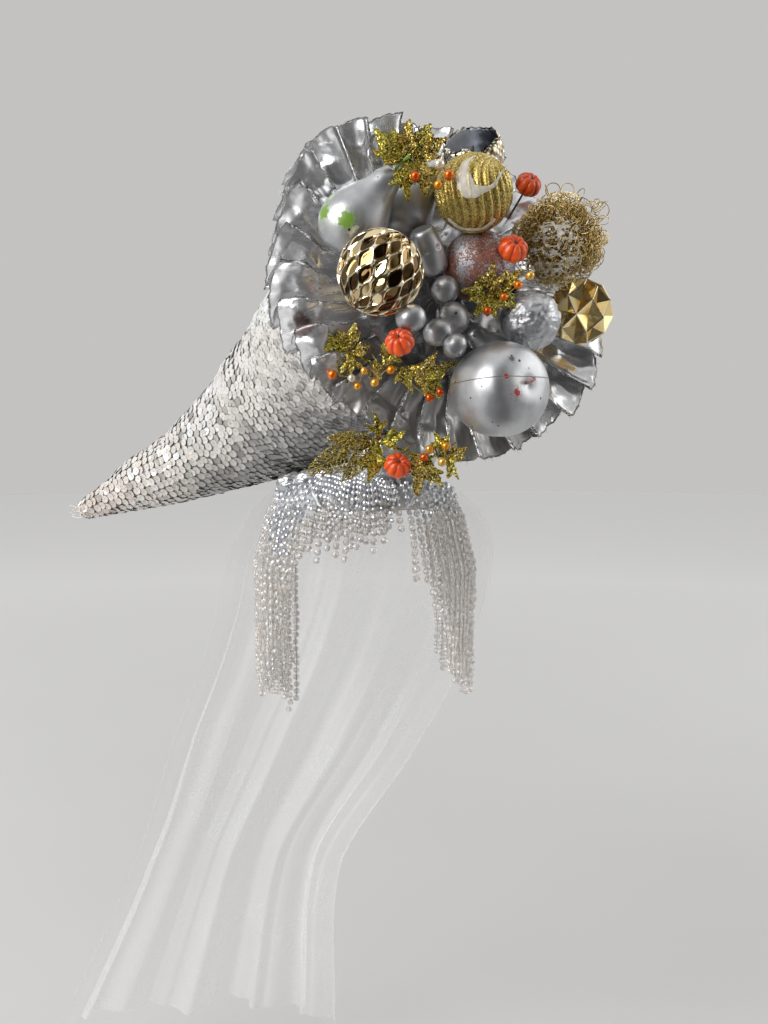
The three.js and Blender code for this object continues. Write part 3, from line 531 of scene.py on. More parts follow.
class Look(Graph):
    """A material round one Principled shader, whose sockets take numbers, colours or other nodes."""

    SOCKETS = {
        "colour": "Base Color", "rough": "Roughness", "metal": "Metallic", "normal": "Normal",
        "alpha": "Alpha", "coat": "Coat Weight", "coat_rough": "Coat Roughness", "sheen": "Sheen Weight",
        "ior": "IOR", "clear": "Transmission Weight",
    }

    def __init__(self, name, **values):
        self.material = bpy.data.materials.new(name)
        self.material.use_nodes = True
        super().__init__(self.material.node_tree)
        self.use(**values)

    def use(self, **values):
        for key, value in values.items():
            self.feed(self.nodes["Principled BSDF"].inputs[self.SOCKETS[key]], value)
        return self

    def place(self):
        return self.node("TexCoord", {}, "Object")

    def noise(self, size, detail=3):
        inputs = {"Vector": self.place(), "Scale": 1 / (size * MM), "Detail": detail}
        return self.node("TexNoise", inputs, "Fac")

    def cloud(self, size, detail, *stops):
        return self.ramp(self.noise(size, detail), *stops)

    def cells(self, size, output="Distance", feature="F1"):
        inputs = {"Vector": self.place(), "Scale": 1 / (size * MM)}
        return self.node("TexVoronoi", inputs, output, feature=feature)

    def value(self, name):
        return self.node("Attribute", {}, "Fac", attribute_name=name)

    def tints(self, *stops):
        return self.ramp(self.value("tint"), *stops)

    def hubs(self, *stops):
        return self.ramp(self.value("hub"), *stops)

    def streaks(self, across, along):
        """Noise drawn out along a pleat, by its own running values."""
        sizes = (("tint", across), ("hub", along))
        spot = dict(enumerate(self.math("MULTIPLY", self.value(name), size) for name, size in sizes))
        inputs = {"Vector": self.node("CombineXYZ", spot), "Scale": 1.0, "Detail": 4}
        return self.node("TexNoise", inputs, "Fac")

    def near(self, point, radius, edge=0.25, ragged=0.5):
        """1 inside a ragged spot about a point, 0 outside it."""
        away = self.vector("DISTANCE", self.place(), tuple(value * MM for value in point), output="Value")
        rough = self.math("SUBTRACT", self.noise(radius / 2, 4), 0.5)
        share = self.math("MULTIPLY_ADD", rough, 2 * ragged, self.math("DIVIDE", away, radius * MM))
        return self.ramp(share, (1 - edge, 1), (1, 0))

    def bump(self, height, depth, normal=None):
        inputs = {"Height": height, "Distance": depth * MM, "Strength": 1.0}
        if normal is not None:
            inputs["Normal"] = normal
        return self.node("Bump", inputs)

    def flakes(self, size, spread):
        """Normals that jump from flake to flake, for glitter."""
        tilt = self.vector("SUBTRACT", self.cells(size, "Color"), (0.5, 0.5, 0.5))
        tilt = self.vector("MULTIPLY", tilt, (spread, spread, spread))
        return self.vector("NORMALIZE", self.vector("ADD", self.node("NewGeometry", {}, "Normal"), tilt))


def mottled(name, size, detail, dark, light, bump=0.0, low=0.3, high=0.7, **values):
    """Two shades clouded by one noise, which may also be its bump."""
    look = Look(name, **values)
    noise = look.noise(size, detail)
    look.use(colour=look.ramp(noise, (low, dark), (high, light)))
    return look.use(normal=look.bump(noise, bump)) if bump else look


def stalk_look(name, dark, light):
    return mottled(name, 2, 3, dark, light, bump=0.2, low=0.35, high=0.65, rough=0.5)


def thread_look():
    return mottled("thread", 6, 2, (0.7, 0.68, 0.64), (0.9, 0.89, 0.86), rough=0.6)


def sequin_look():
    """Cream sequins, warmer toward the tail, each with a hole in its middle. Low tints are dark grey: painted
    shade for those under the horn.
    """
    look = Look("sequin", metal=0.12, rough=0.24, coat=0.5, coat_rough=0.1)
    shade = look.tints(
        (0, (0.22, 0.215, 0.21)), (0.2, (0.54, 0.52, 0.49)), (0.55, (0.67, 0.645, 0.61)),
        (0.75, (0.68, 0.645, 0.635)), (0.88, (0.64, 0.69, 0.70)), (1, (0.84, 0.83, 0.81)),
    )
    tail = look.near((-280, 60, -5), 160, 0.9, 0.1)
    shade = look.mix(tail, shade, (1.0, 0.93, 0.88), blend_type="MULTIPLY")
    return look.use(colour=look.mix(look.hubs((0.82, 0), (0.87, 1)), shade, (0.36, 0.33, 0.29)))


# Place and radius of the stain on the metal cloth
LAME_STAIN = ((-54, -125, 165), 13)


def lame_look(name, dark, light, pleated=False):
    """Crumpled metal cloth with one stain, its inner rows darkened as painted shade. A pleat has its own
    gloss, a random darkening that is painted shade, and a frayed crest; the lower pleats are rougher, and
    darker partly as painted shade.
    """
    look = Look(name, metal=0.8)
    tint = look.value("tint")
    streak = look.streaks(9, 1.6)
    rough = look.ramp(streak, (0.35, 0.15), (0.65, 0.34))
    shade = look.cloud(30, 3, (0.35, dark), (0.65, light))
    if pleated:
        # Each pleat is darkened by its own random share, standing in for pleats that catch the light
        # unevenly: painted shade.
        pleat = look.node("TexWhiteNoise", {"W": look.math("FLOOR", tint)}, "Value", noise_dimensions="1D")
        shade = look.mix(look.math("MULTIPLY", pleat, 0.35), shade, dark)
        rough = look.math("MULTIPLY", rough, look.math("MULTIPLY_ADD", pleat, 0.7, 0.6))
        crest = look.ramp(look.math("FRACT", tint), (0, 1), (0.035, 0), (0.975, 0), (1, 1))
        fray = look.cloud(1.4, 2, (0.46, (0.12, 0.12, 0.13)), (0.54, (0.95, 0.95, 0.95)))
        # The lower pleats are rougher and a darker warm grey: partly a duller cloth, partly painted shade.
        round_mouth = look.math("DIVIDE", tint, len(PLEATS))
        matte_and_shaded = look.ramp(round_mouth, (0.56, 0), (0.64, 1), (0.84, 1), (0.9, 0))
        shade = look.mix(look.math("MULTIPLY", matte_and_shaded, 0.75), shade, (0.40, 0.385, 0.365))
        rough = look.math("MULTIPLY_ADD", matte_and_shaded, 0.2, rough)
        shade = look.mix(crest, shade, fray)
    shade = look.mix(look.near(*LAME_STAIN), shade, (0.24, 0.19, 0.19))
    # Inner rows, which run down into the groove at the bed, turn near black: painted shade.
    inward = look.ramp(look.math("MULTIPLY", look.value("hub"), -1), (0, 0), (0.8, 0.7))
    shade = look.mix(inward, shade, (0.10, 0.10, 0.11))
    weave = look.bump(look.noise(0.9, 2), 0.08, look.bump(streak, 0.25))
    return look.use(colour=shade, rough=rough, normal=weave)


def satin_look():
    look = Look("cap_satin", metal=0.35, sheen=0.3)
    crumple = look.noise(14, 4)
    # Colour follows the crumple bump, darker in its hollows: painted shade.
    shade = look.ramp(crumple, (0.35, (0.46, 0.47, 0.49)), (0.65, (0.72, 0.72, 0.72)))
    weave = look.bump(look.noise(0.8, 2), 0.1, look.bump(crumple, 2.5))
    return look.use(colour=shade, rough=look.ramp(crumple, (0.3, 0.3), (0.7, 0.5)), normal=weave)


def bead_look():
    look = Look("clear_bead", rough=0.03, ior=1.5, clear=0.82, coat=0.6, coat_rough=0.02)
    shade = look.tints((0, (0.97, 0.96, 0.95)), (0.4, (1.0, 0.97, 0.94)), (1, (1.0, 0.94, 0.89)))
    return look.use(colour=shade)


def silver_bead_look():
    look = Look("silver_bead", rough=0.14, metal=0.55, coat=0.5, coat_rough=0.03)
    return look.use(colour=look.tints((0, (0.46, 0.49, 0.54)), (1, (0.84, 0.845, 0.86))))


def tulle_look():
    """Net of fine strands, thinner toward the sheet's sides."""
    look = Look("tulle", rough=0.85, sheen=0.2)
    strand = look.ramp(look.cells(1.7, feature="DISTANCE_TO_EDGE"), (0.05, 1), (0.16, 0))
    cover = look.math("MULTIPLY_ADD", strand, 0.15, 0.12)
    cover = look.math("MULTIPLY", cover, look.cloud(60, 2, (0.3, 0.8), (0.7, 1.0)))
    cover = look.math("MULTIPLY", cover, look.tints((0, 0.02), (0.5, 0.4), (1, 1)))
    return look.use(colour=look.mix(strand, (0.86, 0.86, 0.85), (0.97, 0.97, 0.96)), alpha=cover)


def silver_paint(name, spots=(), seam=None):
    """Metallic paint on moulded fruit: each spot is a place, a radius and the colour that shows through."""
    look = Look(name, coat=0.15, coat_rough=0.2)
    cloud = look.noise(22, 3)
    shade = look.ramp(cloud, (0.35, (0.39, 0.395, 0.41)), (0.65, (0.57, 0.575, 0.58)))
    speck = look.math("MULTIPLY_ADD", look.noise(2.2, 3), 0.3, look.cells(9))
    chosen = look.cloud(9, 3, (0.5, 0), (0.55, 1))
    chips = look.math("MULTIPLY", look.ramp(speck, (0.25, 1), (0.3, 0)), chosen)
    shade = look.mix(chips, shade, (0.05, 0.045, 0.045))
    metal = look.ramp(cloud, (0.3, 0.8), (0.7, 0.88))
    for point, radius, colour in spots:
        dots = look.cloud(1.6, 2, (0.5, 0), (0.56, 1))
        spray = look.math("MULTIPLY", look.near(point, radius * 2, 0.8), dots)
        inside = look.math("MAXIMUM", look.near(point, radius, 0.15, 0.6), spray)
        shade = look.mix(inside, shade, colour)
        metal = look.mix(inside, metal, (0.0, 0.0, 0.0))
    grain = look.bump(look.noise(1.1, 2), 0.05)
    if seam is not None:
        place, normal = seam
        from_seam = look.vector("SUBTRACT", look.place(), tuple(value * MM for value in place))
        height = look.math("ABSOLUTE", look.vector("DOT_PRODUCT", from_seam, normal, output="Value"))
        line = look.ramp(look.math("DIVIDE", height, MM), (0.15, 1), (0.45, 0))
        shade = look.mix(line, shade, (0.22, 0.22, 0.23))
        grain = look.bump(line, -0.3, grain)
    return look.use(colour=shade, rough=look.ramp(cloud, (0.3, 0.34), (0.7, 0.44)), normal=grain, metal=metal)


def mirror_look():
    """Pale gold mirror, its facets deep and glossy, each painted from near black to pale gold as dark and
    bright reflections; their bevels paler and softer.
    """
    look = Look("mirror_gold", metal=1.0)
    bevel = look.hubs((0.55, 0), (0.95, 1))
    # Low facet tints are near black and brown: painted dark reflections of the room.
    shade = look.tints(
        (0.3, (0.08, 0.045, 0.018)), (0.6, (0.30, 0.20, 0.08)), (0.8, (0.70, 0.55, 0.30)),
        (1, (0.90, 0.77, 0.50)),
    )
    gloss = look.cloud(5, 2, (0.35, 0.03), (0.7, 0.08))
    look.use(rough=look.mix(bevel, gloss, (0.2, 0.2, 0.2)))
    return look.use(colour=look.mix(bevel, shade, (0.90, 0.78, 0.54)))


def mosaic_look():
    look = Look("mosaic", metal=1.0)
    shade = look.cloud(9, 3, (0.35, (0.30, 0.24, 0.15)), (0.6, (0.86, 0.80, 0.66)))
    shade = look.mix(look.value("tint"), shade, (0.05, 0.04, 0.03))
    return look.use(colour=shade, rough=look.cloud(4, 2, (0.3, 0.08), (0.7, 0.3)))


def lining_look(node):
    """Silvered inside of a broken bauble, with light and shade painted on: pale to the wearer's right and
    black to the left.
    """
    look = Look("bauble_lining", metal=0.1, rough=0.3)
    low, high = node_box(node)
    east = look.math("DIVIDE", look.axis(look.place(), "X"), MM)
    share = look.math("DIVIDE", look.math("SUBTRACT", east, low[0]), high[0] - low[0])
    share = look.math("ADD", share, look.math("MULTIPLY_ADD", look.noise(9, 3), 0.3, -0.15))
    shade = look.ramp(
        share, (0.3, (0.96, 0.98, 1.0)), (0.52, (0.70, 0.75, 0.84)), (0.66, (0.08, 0.085, 0.10)),
        (0.8, (0.01, 0.01, 0.014)),
    )
    return look.use(colour=shade)


def rust_look():
    """Terracotta, worn through to silver."""
    look = Look("rust", rough=0.5)
    speck = look.noise(1.6, 3)
    clay = look.cloud(5, 3, (0.3, (0.11, 0.04, 0.03)), (0.7, (0.30, 0.12, 0.075)))
    wear = look.math("MULTIPLY_ADD", look.noise(16, 4), 0.8, look.math("MULTIPLY", speck, 0.9))
    share = look.ramp(wear, (0.82, 0), (0.93, 1))
    shade = look.mix(share, clay, (0.50, 0.50, 0.53))
    return look.use(colour=shade, metal=look.math("MULTIPLY", share, 0.8), normal=look.bump(speck, 0.5))


def facet_look():
    look = Look("gold_facet", metal=1.0)
    shade = look.cloud(20, 3, (0.3, (0.86, 0.62, 0.24)), (0.7, (0.96, 0.78, 0.40)))
    shade = look.mix(look.hubs((0.5, 0), (0.6, 1)), shade, (0.95, 0.86, 0.62))
    return look.use(colour=shade, rough=look.cloud(7, 3, (0.3, 0.14), (0.7, 0.3)))


def glitter_look(name, size, spread, first, second):
    """Flakes of many shades. Tint runs from the first row of shades to the second."""
    look = Look(name, metal=0.7, rough=0.24)
    pick = look.node("SeparateColor", {0: look.cells(size, "Color")})
    shade = look.mix(look.value("tint"), look.ramp(pick, *first), look.ramp(pick, *second))
    return look.use(colour=shade, normal=look.flakes(size, spread))


def wire_look():
    look = Look("gold_wire", metal=0.95)
    # Low tints are dark brown: painted shade for strands deep in the tangle, and a random tone for the loose
    # loops.
    shade = look.tints((0, (0.24, 0.15, 0.04)), (0.45, (0.70, 0.50, 0.17)), (1, (1.0, 0.86, 0.50)))
    return look.use(colour=shade, rough=look.cloud(3, 2, (0.3, 0.16), (0.7, 0.36)))


def foil_look():
    look = mottled("foil", 10, 3, (0.36, 0.365, 0.38), (0.62, 0.625, 0.64), metal=0.88)
    rough = look.cloud(8, 3, (0.35, 0.32), (0.65, 0.5))
    return look.use(rough=rough, normal=look.bump(look.noise(1.7, 3), 0.45))


def pumpkin_look():
    look = Look("pumpkin", rough=0.3, coat=0.15, coat_rough=0.08)
    # Tints fall in the grooves and toward the top and bottom, where the darkest reds are: painted shade.
    shade = look.tints((0, (0.36, 0.025, 0.002)), (0.5, (0.66, 0.065, 0.004)), (1, (0.78, 0.105, 0.006)))
    return look.use(colour=look.mix(look.cloud(4, 3, (0.35, 0.0), (0.75, 0.4)), shade, (0.45, 0.02, 0.004)))


def berry_look():
    look = Look("berry", rough=0.16, coat=0.25, coat_rough=0.06, metal=0.6)
    shade = look.tints(
        (0, (0.62, 0.06, 0.004)), (0.3, (0.82, 0.18, 0.008)), (0.6, (0.86, 0.34, 0.02)),
        (0.85, (0.80, 0.50, 0.12)), (1, (0.82, 0.74, 0.60)),
    )
    return look.use(colour=look.mix(look.hubs((0.8, 0), (0.95, 1)), shade, (0.08, 0.03, 0.006)))


def floor_look():
    """Plain pale floor, a little lighter far off. Metal mirrors it as part of the room."""
    look = Look("floor", rough=0.85)
    near = look.cloud(900, 2, (0.3, (0.51, 0.505, 0.495)), (0.7, (0.535, 0.53, 0.52)))
    away = look.vector("LENGTH", look.place(), output="Value")
    shade = look.mix(look.ramp(look.math("DIVIDE", away, 4), (0.2, 0), (1, 1)), near, (0.86, 0.855, 0.845))
    way = look.vector("NORMALIZE", look.vector("MULTIPLY", look.place(), (1, 1, 0)))
    mirrored = look.node("LightPath", {}, "Is Glossy Ray")
    return look.use(colour=look.mix(mirrored, shade, look.room(way)))


# Shades of glitter: in the grooves of the bauble, darkened as painted shade, and on its ribs; on the brown
# and on the green leaves
GROOVE_SHADE_STOPS = ((0, (0.05, 0.025, 0.002)), (0.5, (0.24, 0.14, 0.02)), (1, (0.60, 0.44, 0.14)))
RIB_STOPS = (
    (0, (0.17, 0.10, 0.01)), (0.35, (0.48, 0.34, 0.05)), (0.7, (0.74, 0.57, 0.14)), (1, (1.0, 0.92, 0.52)),
)
BROWN_LEAF_STOPS = (
    (0, (0.03, 0.015, 0.001)), (0.35, (0.17, 0.10, 0.01)), (0.7, (0.66, 0.46, 0.06)), (1, (1.0, 0.95, 0.55)),
)
GREEN_LEAF_STOPS = (
    (0, (0.04, 0.03, 0.002)), (0.35, (0.24, 0.19, 0.015)), (0.7, (0.78, 0.64, 0.09)),
    (0.88, (0.42, 0.50, 0.05)), (1, (1.0, 1.0, 0.65)),
)

# Mouth frame

yaw, pitch = np.radians([MOUTH["yaw"], MOUTH["pitch"]])
MOUTH_NORMAL = np.array([math.sin(yaw) * math.cos(pitch), -math.cos(yaw) * math.cos(pitch), math.sin(pitch)])
MOUTH_SIDE = unit(np.cross([0, 0, 1], MOUTH_NORMAL))
MOUTH_UP = np.cross(MOUTH_NORMAL, MOUTH_SIDE)


def from_mouth(points):
    """Points given to the side, up and out of the mouth."""
    x, y, z = np.moveaxis(points, -1, 0)[..., None]
    return np.array(MOUTH["place"]) + x * MOUTH_SIDE + y * MOUTH_UP + z * MOUTH_NORMAL


# Horn

SEQUIN = {
    "radius": 4.1, "sides": 10, "dish": 0.35, "body": 0.3, "row": 6.5, "pitch": 7.6, "tilt": 6.5, "jitter": 5,
    "wave": 0.8, "lifts": (0.3, 0.9), "on_tail": 26, "tail_lift": 0.4,
}

# Loose threads at the horn's tip
LOOSE = {"threads": 7, "length": 8, "radius": 0.22}
LAST_ROW = len(HORN_ROWS) - 1

# Step of angle that spreads points evenly in a spiral over a round end
SPIRAL = 2.4


def horn_axes(at):
    """Centre, radius and section axes of the horn, at places counted in rows."""
    row = spline(HORN_ROWS, at)
    heading = unit(spline(HORN_ROWS, at + 0.01)[..., :3] - spline(HORN_ROWS, at - 0.01)[..., :3])
    share = np.clip(row[..., 4:5], 0, 1)
    heading = unit(heading * (1 - share) + MOUTH_NORMAL * share)
    side = unit(np.cross(np.array([0, 0, 1]), heading))
    return row[..., :3], row[..., 3], heading, side, np.cross(heading, side)


def horn_point(at, angle, out=0.0):
    centre, radius, _, side, up = horn_axes(at)
    return centre + spokes(side, up, angle) * (radius + out)[..., None]


def horn():
    """The cone's cloth, a closed wall with a round tail, a little under its sequins."""
    around, rows = MESH["horn"]
    tail_rows, under = 6, -0.6
    places, angle = np.meshgrid(np.linspace(0, LAST_ROW, rows), steps(around), indexing="ij")
    outer, inner = horn_point(places, angle, under), horn_point(places, angle, -HORN_WALL)
    centre, _, heading, _, _ = horn_axes(np.zeros(1))
    bend = np.linspace(math.pi / 2, 0, tail_rows + 1)[1:-1]
    tail = [centre + (outer[0] - centre) * math.sin(b) - heading * HORN_TIP * math.cos(b) for b in bend]
    rings = np.concatenate([np.array(tail)[::-1], outer, inner[::-1]])
    shape = Shape().add(*skin(rings, centre[0] - heading[0] * HORN_TIP, centre[0]))
    # The backing's dark grey stands in for the shadow in the gaps between sequins: a real cloth, its darkness
    # painted shade.
    backing = mottled("sequin_backing", 1.2, 2, (0.22, 0.205, 0.185), (0.36, 0.34, 0.31), bump=0.3, rough=0.8)
    piece("horn_cloth", shape, [backing], ["horn"])


def sequin_rows(rng):
    """Axes and places of the sequins in staggered rows over the cone, and of those on its round tail."""
    fine = np.linspace(0, LAST_ROW, 800)
    length = run(spline(HORN_ROWS, fine)[:, :3])
    places, frames = [], []

    def lay(spots, first, normal):
        places.append(spots)
        frames.append(np.stack([first, np.cross(normal, first), normal], axis=-1))

    for row, distance in enumerate(np.arange(0.5, length[-1] - 1, SEQUIN["row"])):
        radius = spline(HORN_ROWS, np.interp(distance, length, fine))[3]
        count = max(5, int(round(TAU * radius / SEQUIN["pitch"])))
        angle = (np.arange(count) + 0.5 * (row % 2) + rng.uniform(-0.1, 0.1, count)) / count * TAU
        wave = rng.normal(0, SEQUIN["wave"], count)
        spots = np.interp(np.clip(distance + wave, 0.3, length[-1] - 0.5), length, fine)
        ahead = horn_point(np.minimum(spots + 0.05, LAST_ROW), angle)
        along = unit(ahead - horn_point(np.maximum(spots - 0.05, 0), angle))
        round_it = unit(np.cross(along, spokes(*horn_axes(spots)[3:], angle)))
        out = np.cross(round_it, along)
        tilt = np.radians(SEQUIN["tilt"] + rng.normal(0, SEQUIN["jitter"], count))[:, None]
        rock = np.radians(rng.normal(0, SEQUIN["jitter"], count))[:, None]
        normal = unit(out - along * np.sin(tilt) + round_it * np.sin(rock))
        first = unit(along - normal * np.einsum("ij,ij->i", along, normal)[:, None])
        lay(horn_point(spots, angle, rng.uniform(*SEQUIN["lifts"], count)), first, normal)
    centre, radius, heading, side, up = horn_axes(np.zeros(1))
    index = np.arange(SEQUIN["on_tail"])
    tilt = np.arccos(1 - (index + 0.5) / SEQUIN["on_tail"])[:, None]
    spoke = np.sin(tilt) * spokes(side, up, index * SPIRAL)
    out = unit(spoke - heading * np.cos(tilt))
    spots = centre - heading * HORN_TIP * np.cos(tilt) + radius * spoke + out * SEQUIN["tail_lift"]
    lay(spots, unit(np.cross(out, heading + 0.01)), out)
    return np.concatenate(frames), np.concatenate(places)


def sequins():
    """Cupped sequins, painted darker under the horn near the cap as shade, and loose threads at its tip."""
    rng = draws("sequins")
    frames, spots = sequin_rows(rng)
    rim = polar(1, steps(SEQUIN["sides"]), 0) * SEQUIN["radius"]
    disc, faces = skin(rim[None], [0, 0, -SEQUIN["dish"] - SEQUIN["body"]], [0, 0, -SEQUIN["dish"]])
    points, copies = scatter(disc, faces[1:], frames, spots)
    # Sequins that face down, away from the tail, get lower tints and turn darker: painted shade under the
    # horn.
    painted_underside_shade = np.clip(0.25 - frames[:, 2, 2], 0, 1) * np.clip((spots[:, 0] + 220) / 60, 0, 1)
    tint = np.repeat(rng.beta(1.8, 1.1, len(frames)) * (1 - 0.95 * painted_underside_shade), len(disc))
    hub = np.tile(np.append(np.zeros(SEQUIN["sides"]), [1.0, 1.0]), len(frames))
    shape = Shape().add(points, copies, tint=tint, hub=hub)
    centre, _, heading, _, _ = (value[0] for value in horn_axes(np.zeros(1)))
    for _ in range(LOOSE["threads"]):
        start = centre - heading * HORN_TIP + rng.normal(0, 3, 3)
        end = start + (-heading * LOOSE["length"] + rng.normal(0, 4, 3))
        middle = (start + end) / 2 + rng.normal(0, 1.5, 3)
        shape.add(*tube(smooth_line([start, middle, end], 6), LOOSE["radius"], 4), mark=1)
    piece("sequins", shape, [sequin_look(), thread_look()], smooth=False)


# Mouth bed, ruffle and crown pad

BED = {"bulge": 30, "depth": 6, "radius": 112}
BED_PROFILE = [(0.95, -6), (0.99, 0.3), (0.88, 7.2), (0.65, 18), (0.35, 26.4), (0.08, 29.8)]

RUFFLE = {
    "inner": 80, "foot": 112.9, "notch": 3, "round": 4, "sink": 0.5, "flare": 6, "rise": 0.6, "cloth": 0.7,
    "overlap": 4, "swell": 1.15, "flop": 7, "fullest": 150, "wrinkles": 6,
}

# Threads that fray from the ruffle's edge: count, least and most length, how bent, radii from foot to tip
FRAY = {"count": 420, "lengths": (2, 5.5), "bend": 0.9, "radii": (0.24, 0.2, 0.1)}

# Where the collar is uneven: trimmed, drawn out to a corner, leaning back. Amount, angle of the most, spread
UNEVEN = [(10, 86, 22), (7, 131, 14), (30, 185, 35)]

# Ragged edge of the ruffle and creases of the bed: size, seed, depth
RAGGED = [(2.6, 3, 1.2), (9, 4, 1.6)]
BED_CREASES = [(22, 21, 9), (7, 23, 3)]

# Crown pad: size of its mesh, size and depth of its creases
PAD = {"voxel": 2.5, "crease": 16, "dent": 2.2}

# How much of a pleat is its face, and the columns and rows of its mesh
FACE_SHARE = 0.8
FACE_COLUMNS = 24
TUCK_COLUMNS = 8
INNER_ROWS = 5
OUTER_ROWS = 24


def ruffle_surface():
    """Grid of the ruffle's middle surface from the bed to its edge, with the running values of each point.

    Each pleat's face falls from its crest to a valley under the next crest, and tucks back up to it."""
    rows = np.array(PLEATS, float)
    following = np.roll(rows, -1, axis=0)
    following[-1, 0] += 360
    inner = np.linspace(-1, 0, INNER_ROWS, endpoint=False)
    along = np.concatenate([inner, np.linspace(0, 1, OUTER_ROWS)])[:, None]
    outer, inward = np.clip(along, 0, 1), np.clip(-along, 0, 1)
    loose = (0.3 + 0.7 * outer) ** RUFFLE["rise"] * (1 - 0.7 * inward)
    sink = RUFFLE["sink"] * np.sqrt(outer)
    face = np.linspace(0, 1, FACE_COLUMNS, endpoint=False) ** 1.2
    tuck = np.linspace(0, 1, TUCK_COLUMNS, endpoint=False)
    share = np.concatenate([FACE_SHARE * face, FACE_SHARE + (1 - FACE_SHARE) * tuck])
    corner = np.concatenate([bell(face, 0, 0.1), bell(tuck, 1, 0.3)])
    rng = draws("pleats")
    flop = RUFFLE["flop"] * rng.uniform(-1, 1, len(rows))
    bend = rng.uniform(0.7, 1.7, len(rows))
    full = 1 + np.clip(np.cos(np.radians(rows[:, 0] - RUFFLE["fullest"]) * 0.9), 0, 1)
    bed_radii, bed_heights = np.array(BED_PROFILE[1:][::-1]).T
    foot = RUFFLE["foot"]
    sheets, tints = [], []
    for index, (crest, after) in enumerate(zip(rows, following)):
        both = (index, (index + 1) % len(rows))
        over, next_over = (RUFFLE["overlap"] * full[k] * loose for k in both)
        on_face = crest[0] - over + (after[0] - crest[0] + over) * face
        angle = np.radians(np.concatenate([on_face, after[0] - next_over * tuck], axis=1))
        trim, spur, leaning = (amount * bell(np.degrees(angle), at, spread) for amount, at, spread in UNEVEN)
        fall = np.concatenate([(1 - face) ** bend[index], tuck**0.8])
        reach = crest[1] + (after[1] - crest[1]) * share - RUFFLE["notch"] * (1 - fall)
        reach = reach - RUFFLE["round"] * corner - trim + spur - 0.3 * leaning
        rise, next_rise = (RUFFLE["swell"] * full[k] * rows[k, 2] for k in both)
        fold = (rise + (next_rise - rise) * share) * (fall * (1 + sink) - sink)
        hang = flop[index] + (flop[both[1]] - flop[index]) * share - leaning
        radius = foot + (reach - foot) * outer - (foot - RUFFLE["inner"]) * inward
        under = np.where(along > 0, 0, np.interp(radius / BED["radius"], bed_radii, bed_heights))
        lift = 1.5 + under + RUFFLE["flare"] * outer + fold * loose + hang * outer**2
        sheets.append(polar(radius, angle, lift))
        tints.append(index + share)
    flat = np.concatenate(sheets, axis=1)
    tint = np.broadcast_to(np.concatenate(tints), flat.shape[:2])
    ragged = sum(wobble(flat[-1], size, seed) * depth for size, seed, depth in RAGGED)
    flat = flat + (outer**5)[..., None] * (unit(flat[-1] * [1, 1, 0]) * ragged[:, None])[None]
    low = np.clip(-np.sin(np.arctan2(flat[..., 1], flat[..., 0]) - 0.25), 0, 1) ** 2
    pleat = xyz(tint * RUFFLE["wrinkles"], along * 1.3, 0 * tint)
    crumple = wobble(flat, 24, 6) * 2.5 + (crease(flat, 17, 7) - 0.5) * 2.6
    wrinkle = (crease(pleat * [0.42, 0.7, 1] + [0, 0, 5], 1, 8) - 0.5) * 6.5 + wobble(pleat, 1, 8) * 1.6
    crumple = crumple + ((crease(flat, 6, 9) - 0.5) * 0.5 + wrinkle * np.sqrt(outer)) * (1 - 0.35 * low)
    flat = flat + outward(flat, wrap=True) * crumple[..., None]
    return from_mouth(flat), tint, np.broadcast_to(along, flat.shape[:2])


def ruffle(look):
    surface, tint, hub = ruffle_surface()
    points, faces = thick(surface, RUFFLE["cloth"], wrap=True)
    shape = Shape().add(points, faces, tint=np.tile(tint.ravel(), 2), hub=np.tile(hub.ravel(), 2))
    made = piece("ruffle_cloth", shape, [look], ["ruffle"])
    rng = draws("fray")
    fray = Shape()
    for column in rng.integers(0, surface.shape[1], FRAY["count"]):
        start = surface[-2, column]
        out = unit(surface[-1, column] - surface[-4, column])
        length = rng.uniform(*FRAY["lengths"])
        bend = rng.normal(0, FRAY["bend"], (2, 3))
        line = [start, start + out * length * 0.6 + bend[0], start + out * length + bend[0] + bend[1]]
        fray.add(*tube(line, FRAY["radii"], 3), tint=rng.uniform())
    threads = piece("ruffle_fray", fray, [look])


def bed(look):
    rows = [(radius * BED["radius"], height) for radius, height in BED_PROFILE]
    points, faces = lathe(rows, (-BED["depth"], BED["bulge"]), 1, *MESH["bed"])
    crumple = sum((crease(points, size, seed) - 0.65) * depth for size, seed, depth in BED_CREASES)
    points[:, 2] += np.minimum(crumple, 0.8) * np.clip(points[:, 2] / 8, 0, 1)
    made = piece("bed_cloth", Shape().add(from_mouth(points), faces), [look], ["mouth_bed"])


def pad(look):
    """The crown pad's solid, remeshed and crumpled inward."""
    mesh = frame["nodes"]["crown_pad"].data.copy()
    mesh.name = "pad_cloth"
    mesh.materials.clear()
    mesh.materials.append(look.material)
    made = link("pad_cloth", mesh)
    modifier = made.modifiers.new("remesh", "REMESH")
    modifier.voxel_size = PAD["voxel"] * MM
    modifier.use_smooth_shade = True
    fine = bpy.data.meshes.new_from_object(made.evaluated_get(bpy.context.evaluated_depsgraph_get()))
    made.modifiers.clear()
    made.data = fine
    points, normals = (np.empty((len(fine.vertices), 3), np.float32) for _ in range(2))
    fine.vertices.foreach_get("co", points.ravel())
    fine.vertices.foreach_get("normal", normals.ravel())
    dent = crease(points / MM, PAD["crease"], 31) * PAD["dent"] * MM
    fine.vertices.foreach_set("co", (points - normals * dent[:, None]).astype(np.float32).ravel())
    fine.update()
    carry(made, ["crown_pad"])


# Cap

# Bound edge: points around, level on the dome, distance out of it, radius, and how uneven that is
BINDING = {"around": 140, "level": 0.03, "out": -1, "radius": 1.4, "uneven": 0.2}

# Ribbons on the cap's front: level and angle where it starts and ends, and its width
RIBBONS = [((0.30, -0.62), (0.06, -0.44), 5), ((0.24, 0.62), (0.06, 0.48), 4)]
RIBBON = {"rows": 16, "columns": 7, "lift": 5.5, "wave": 1.2, "cloth": 0.6}

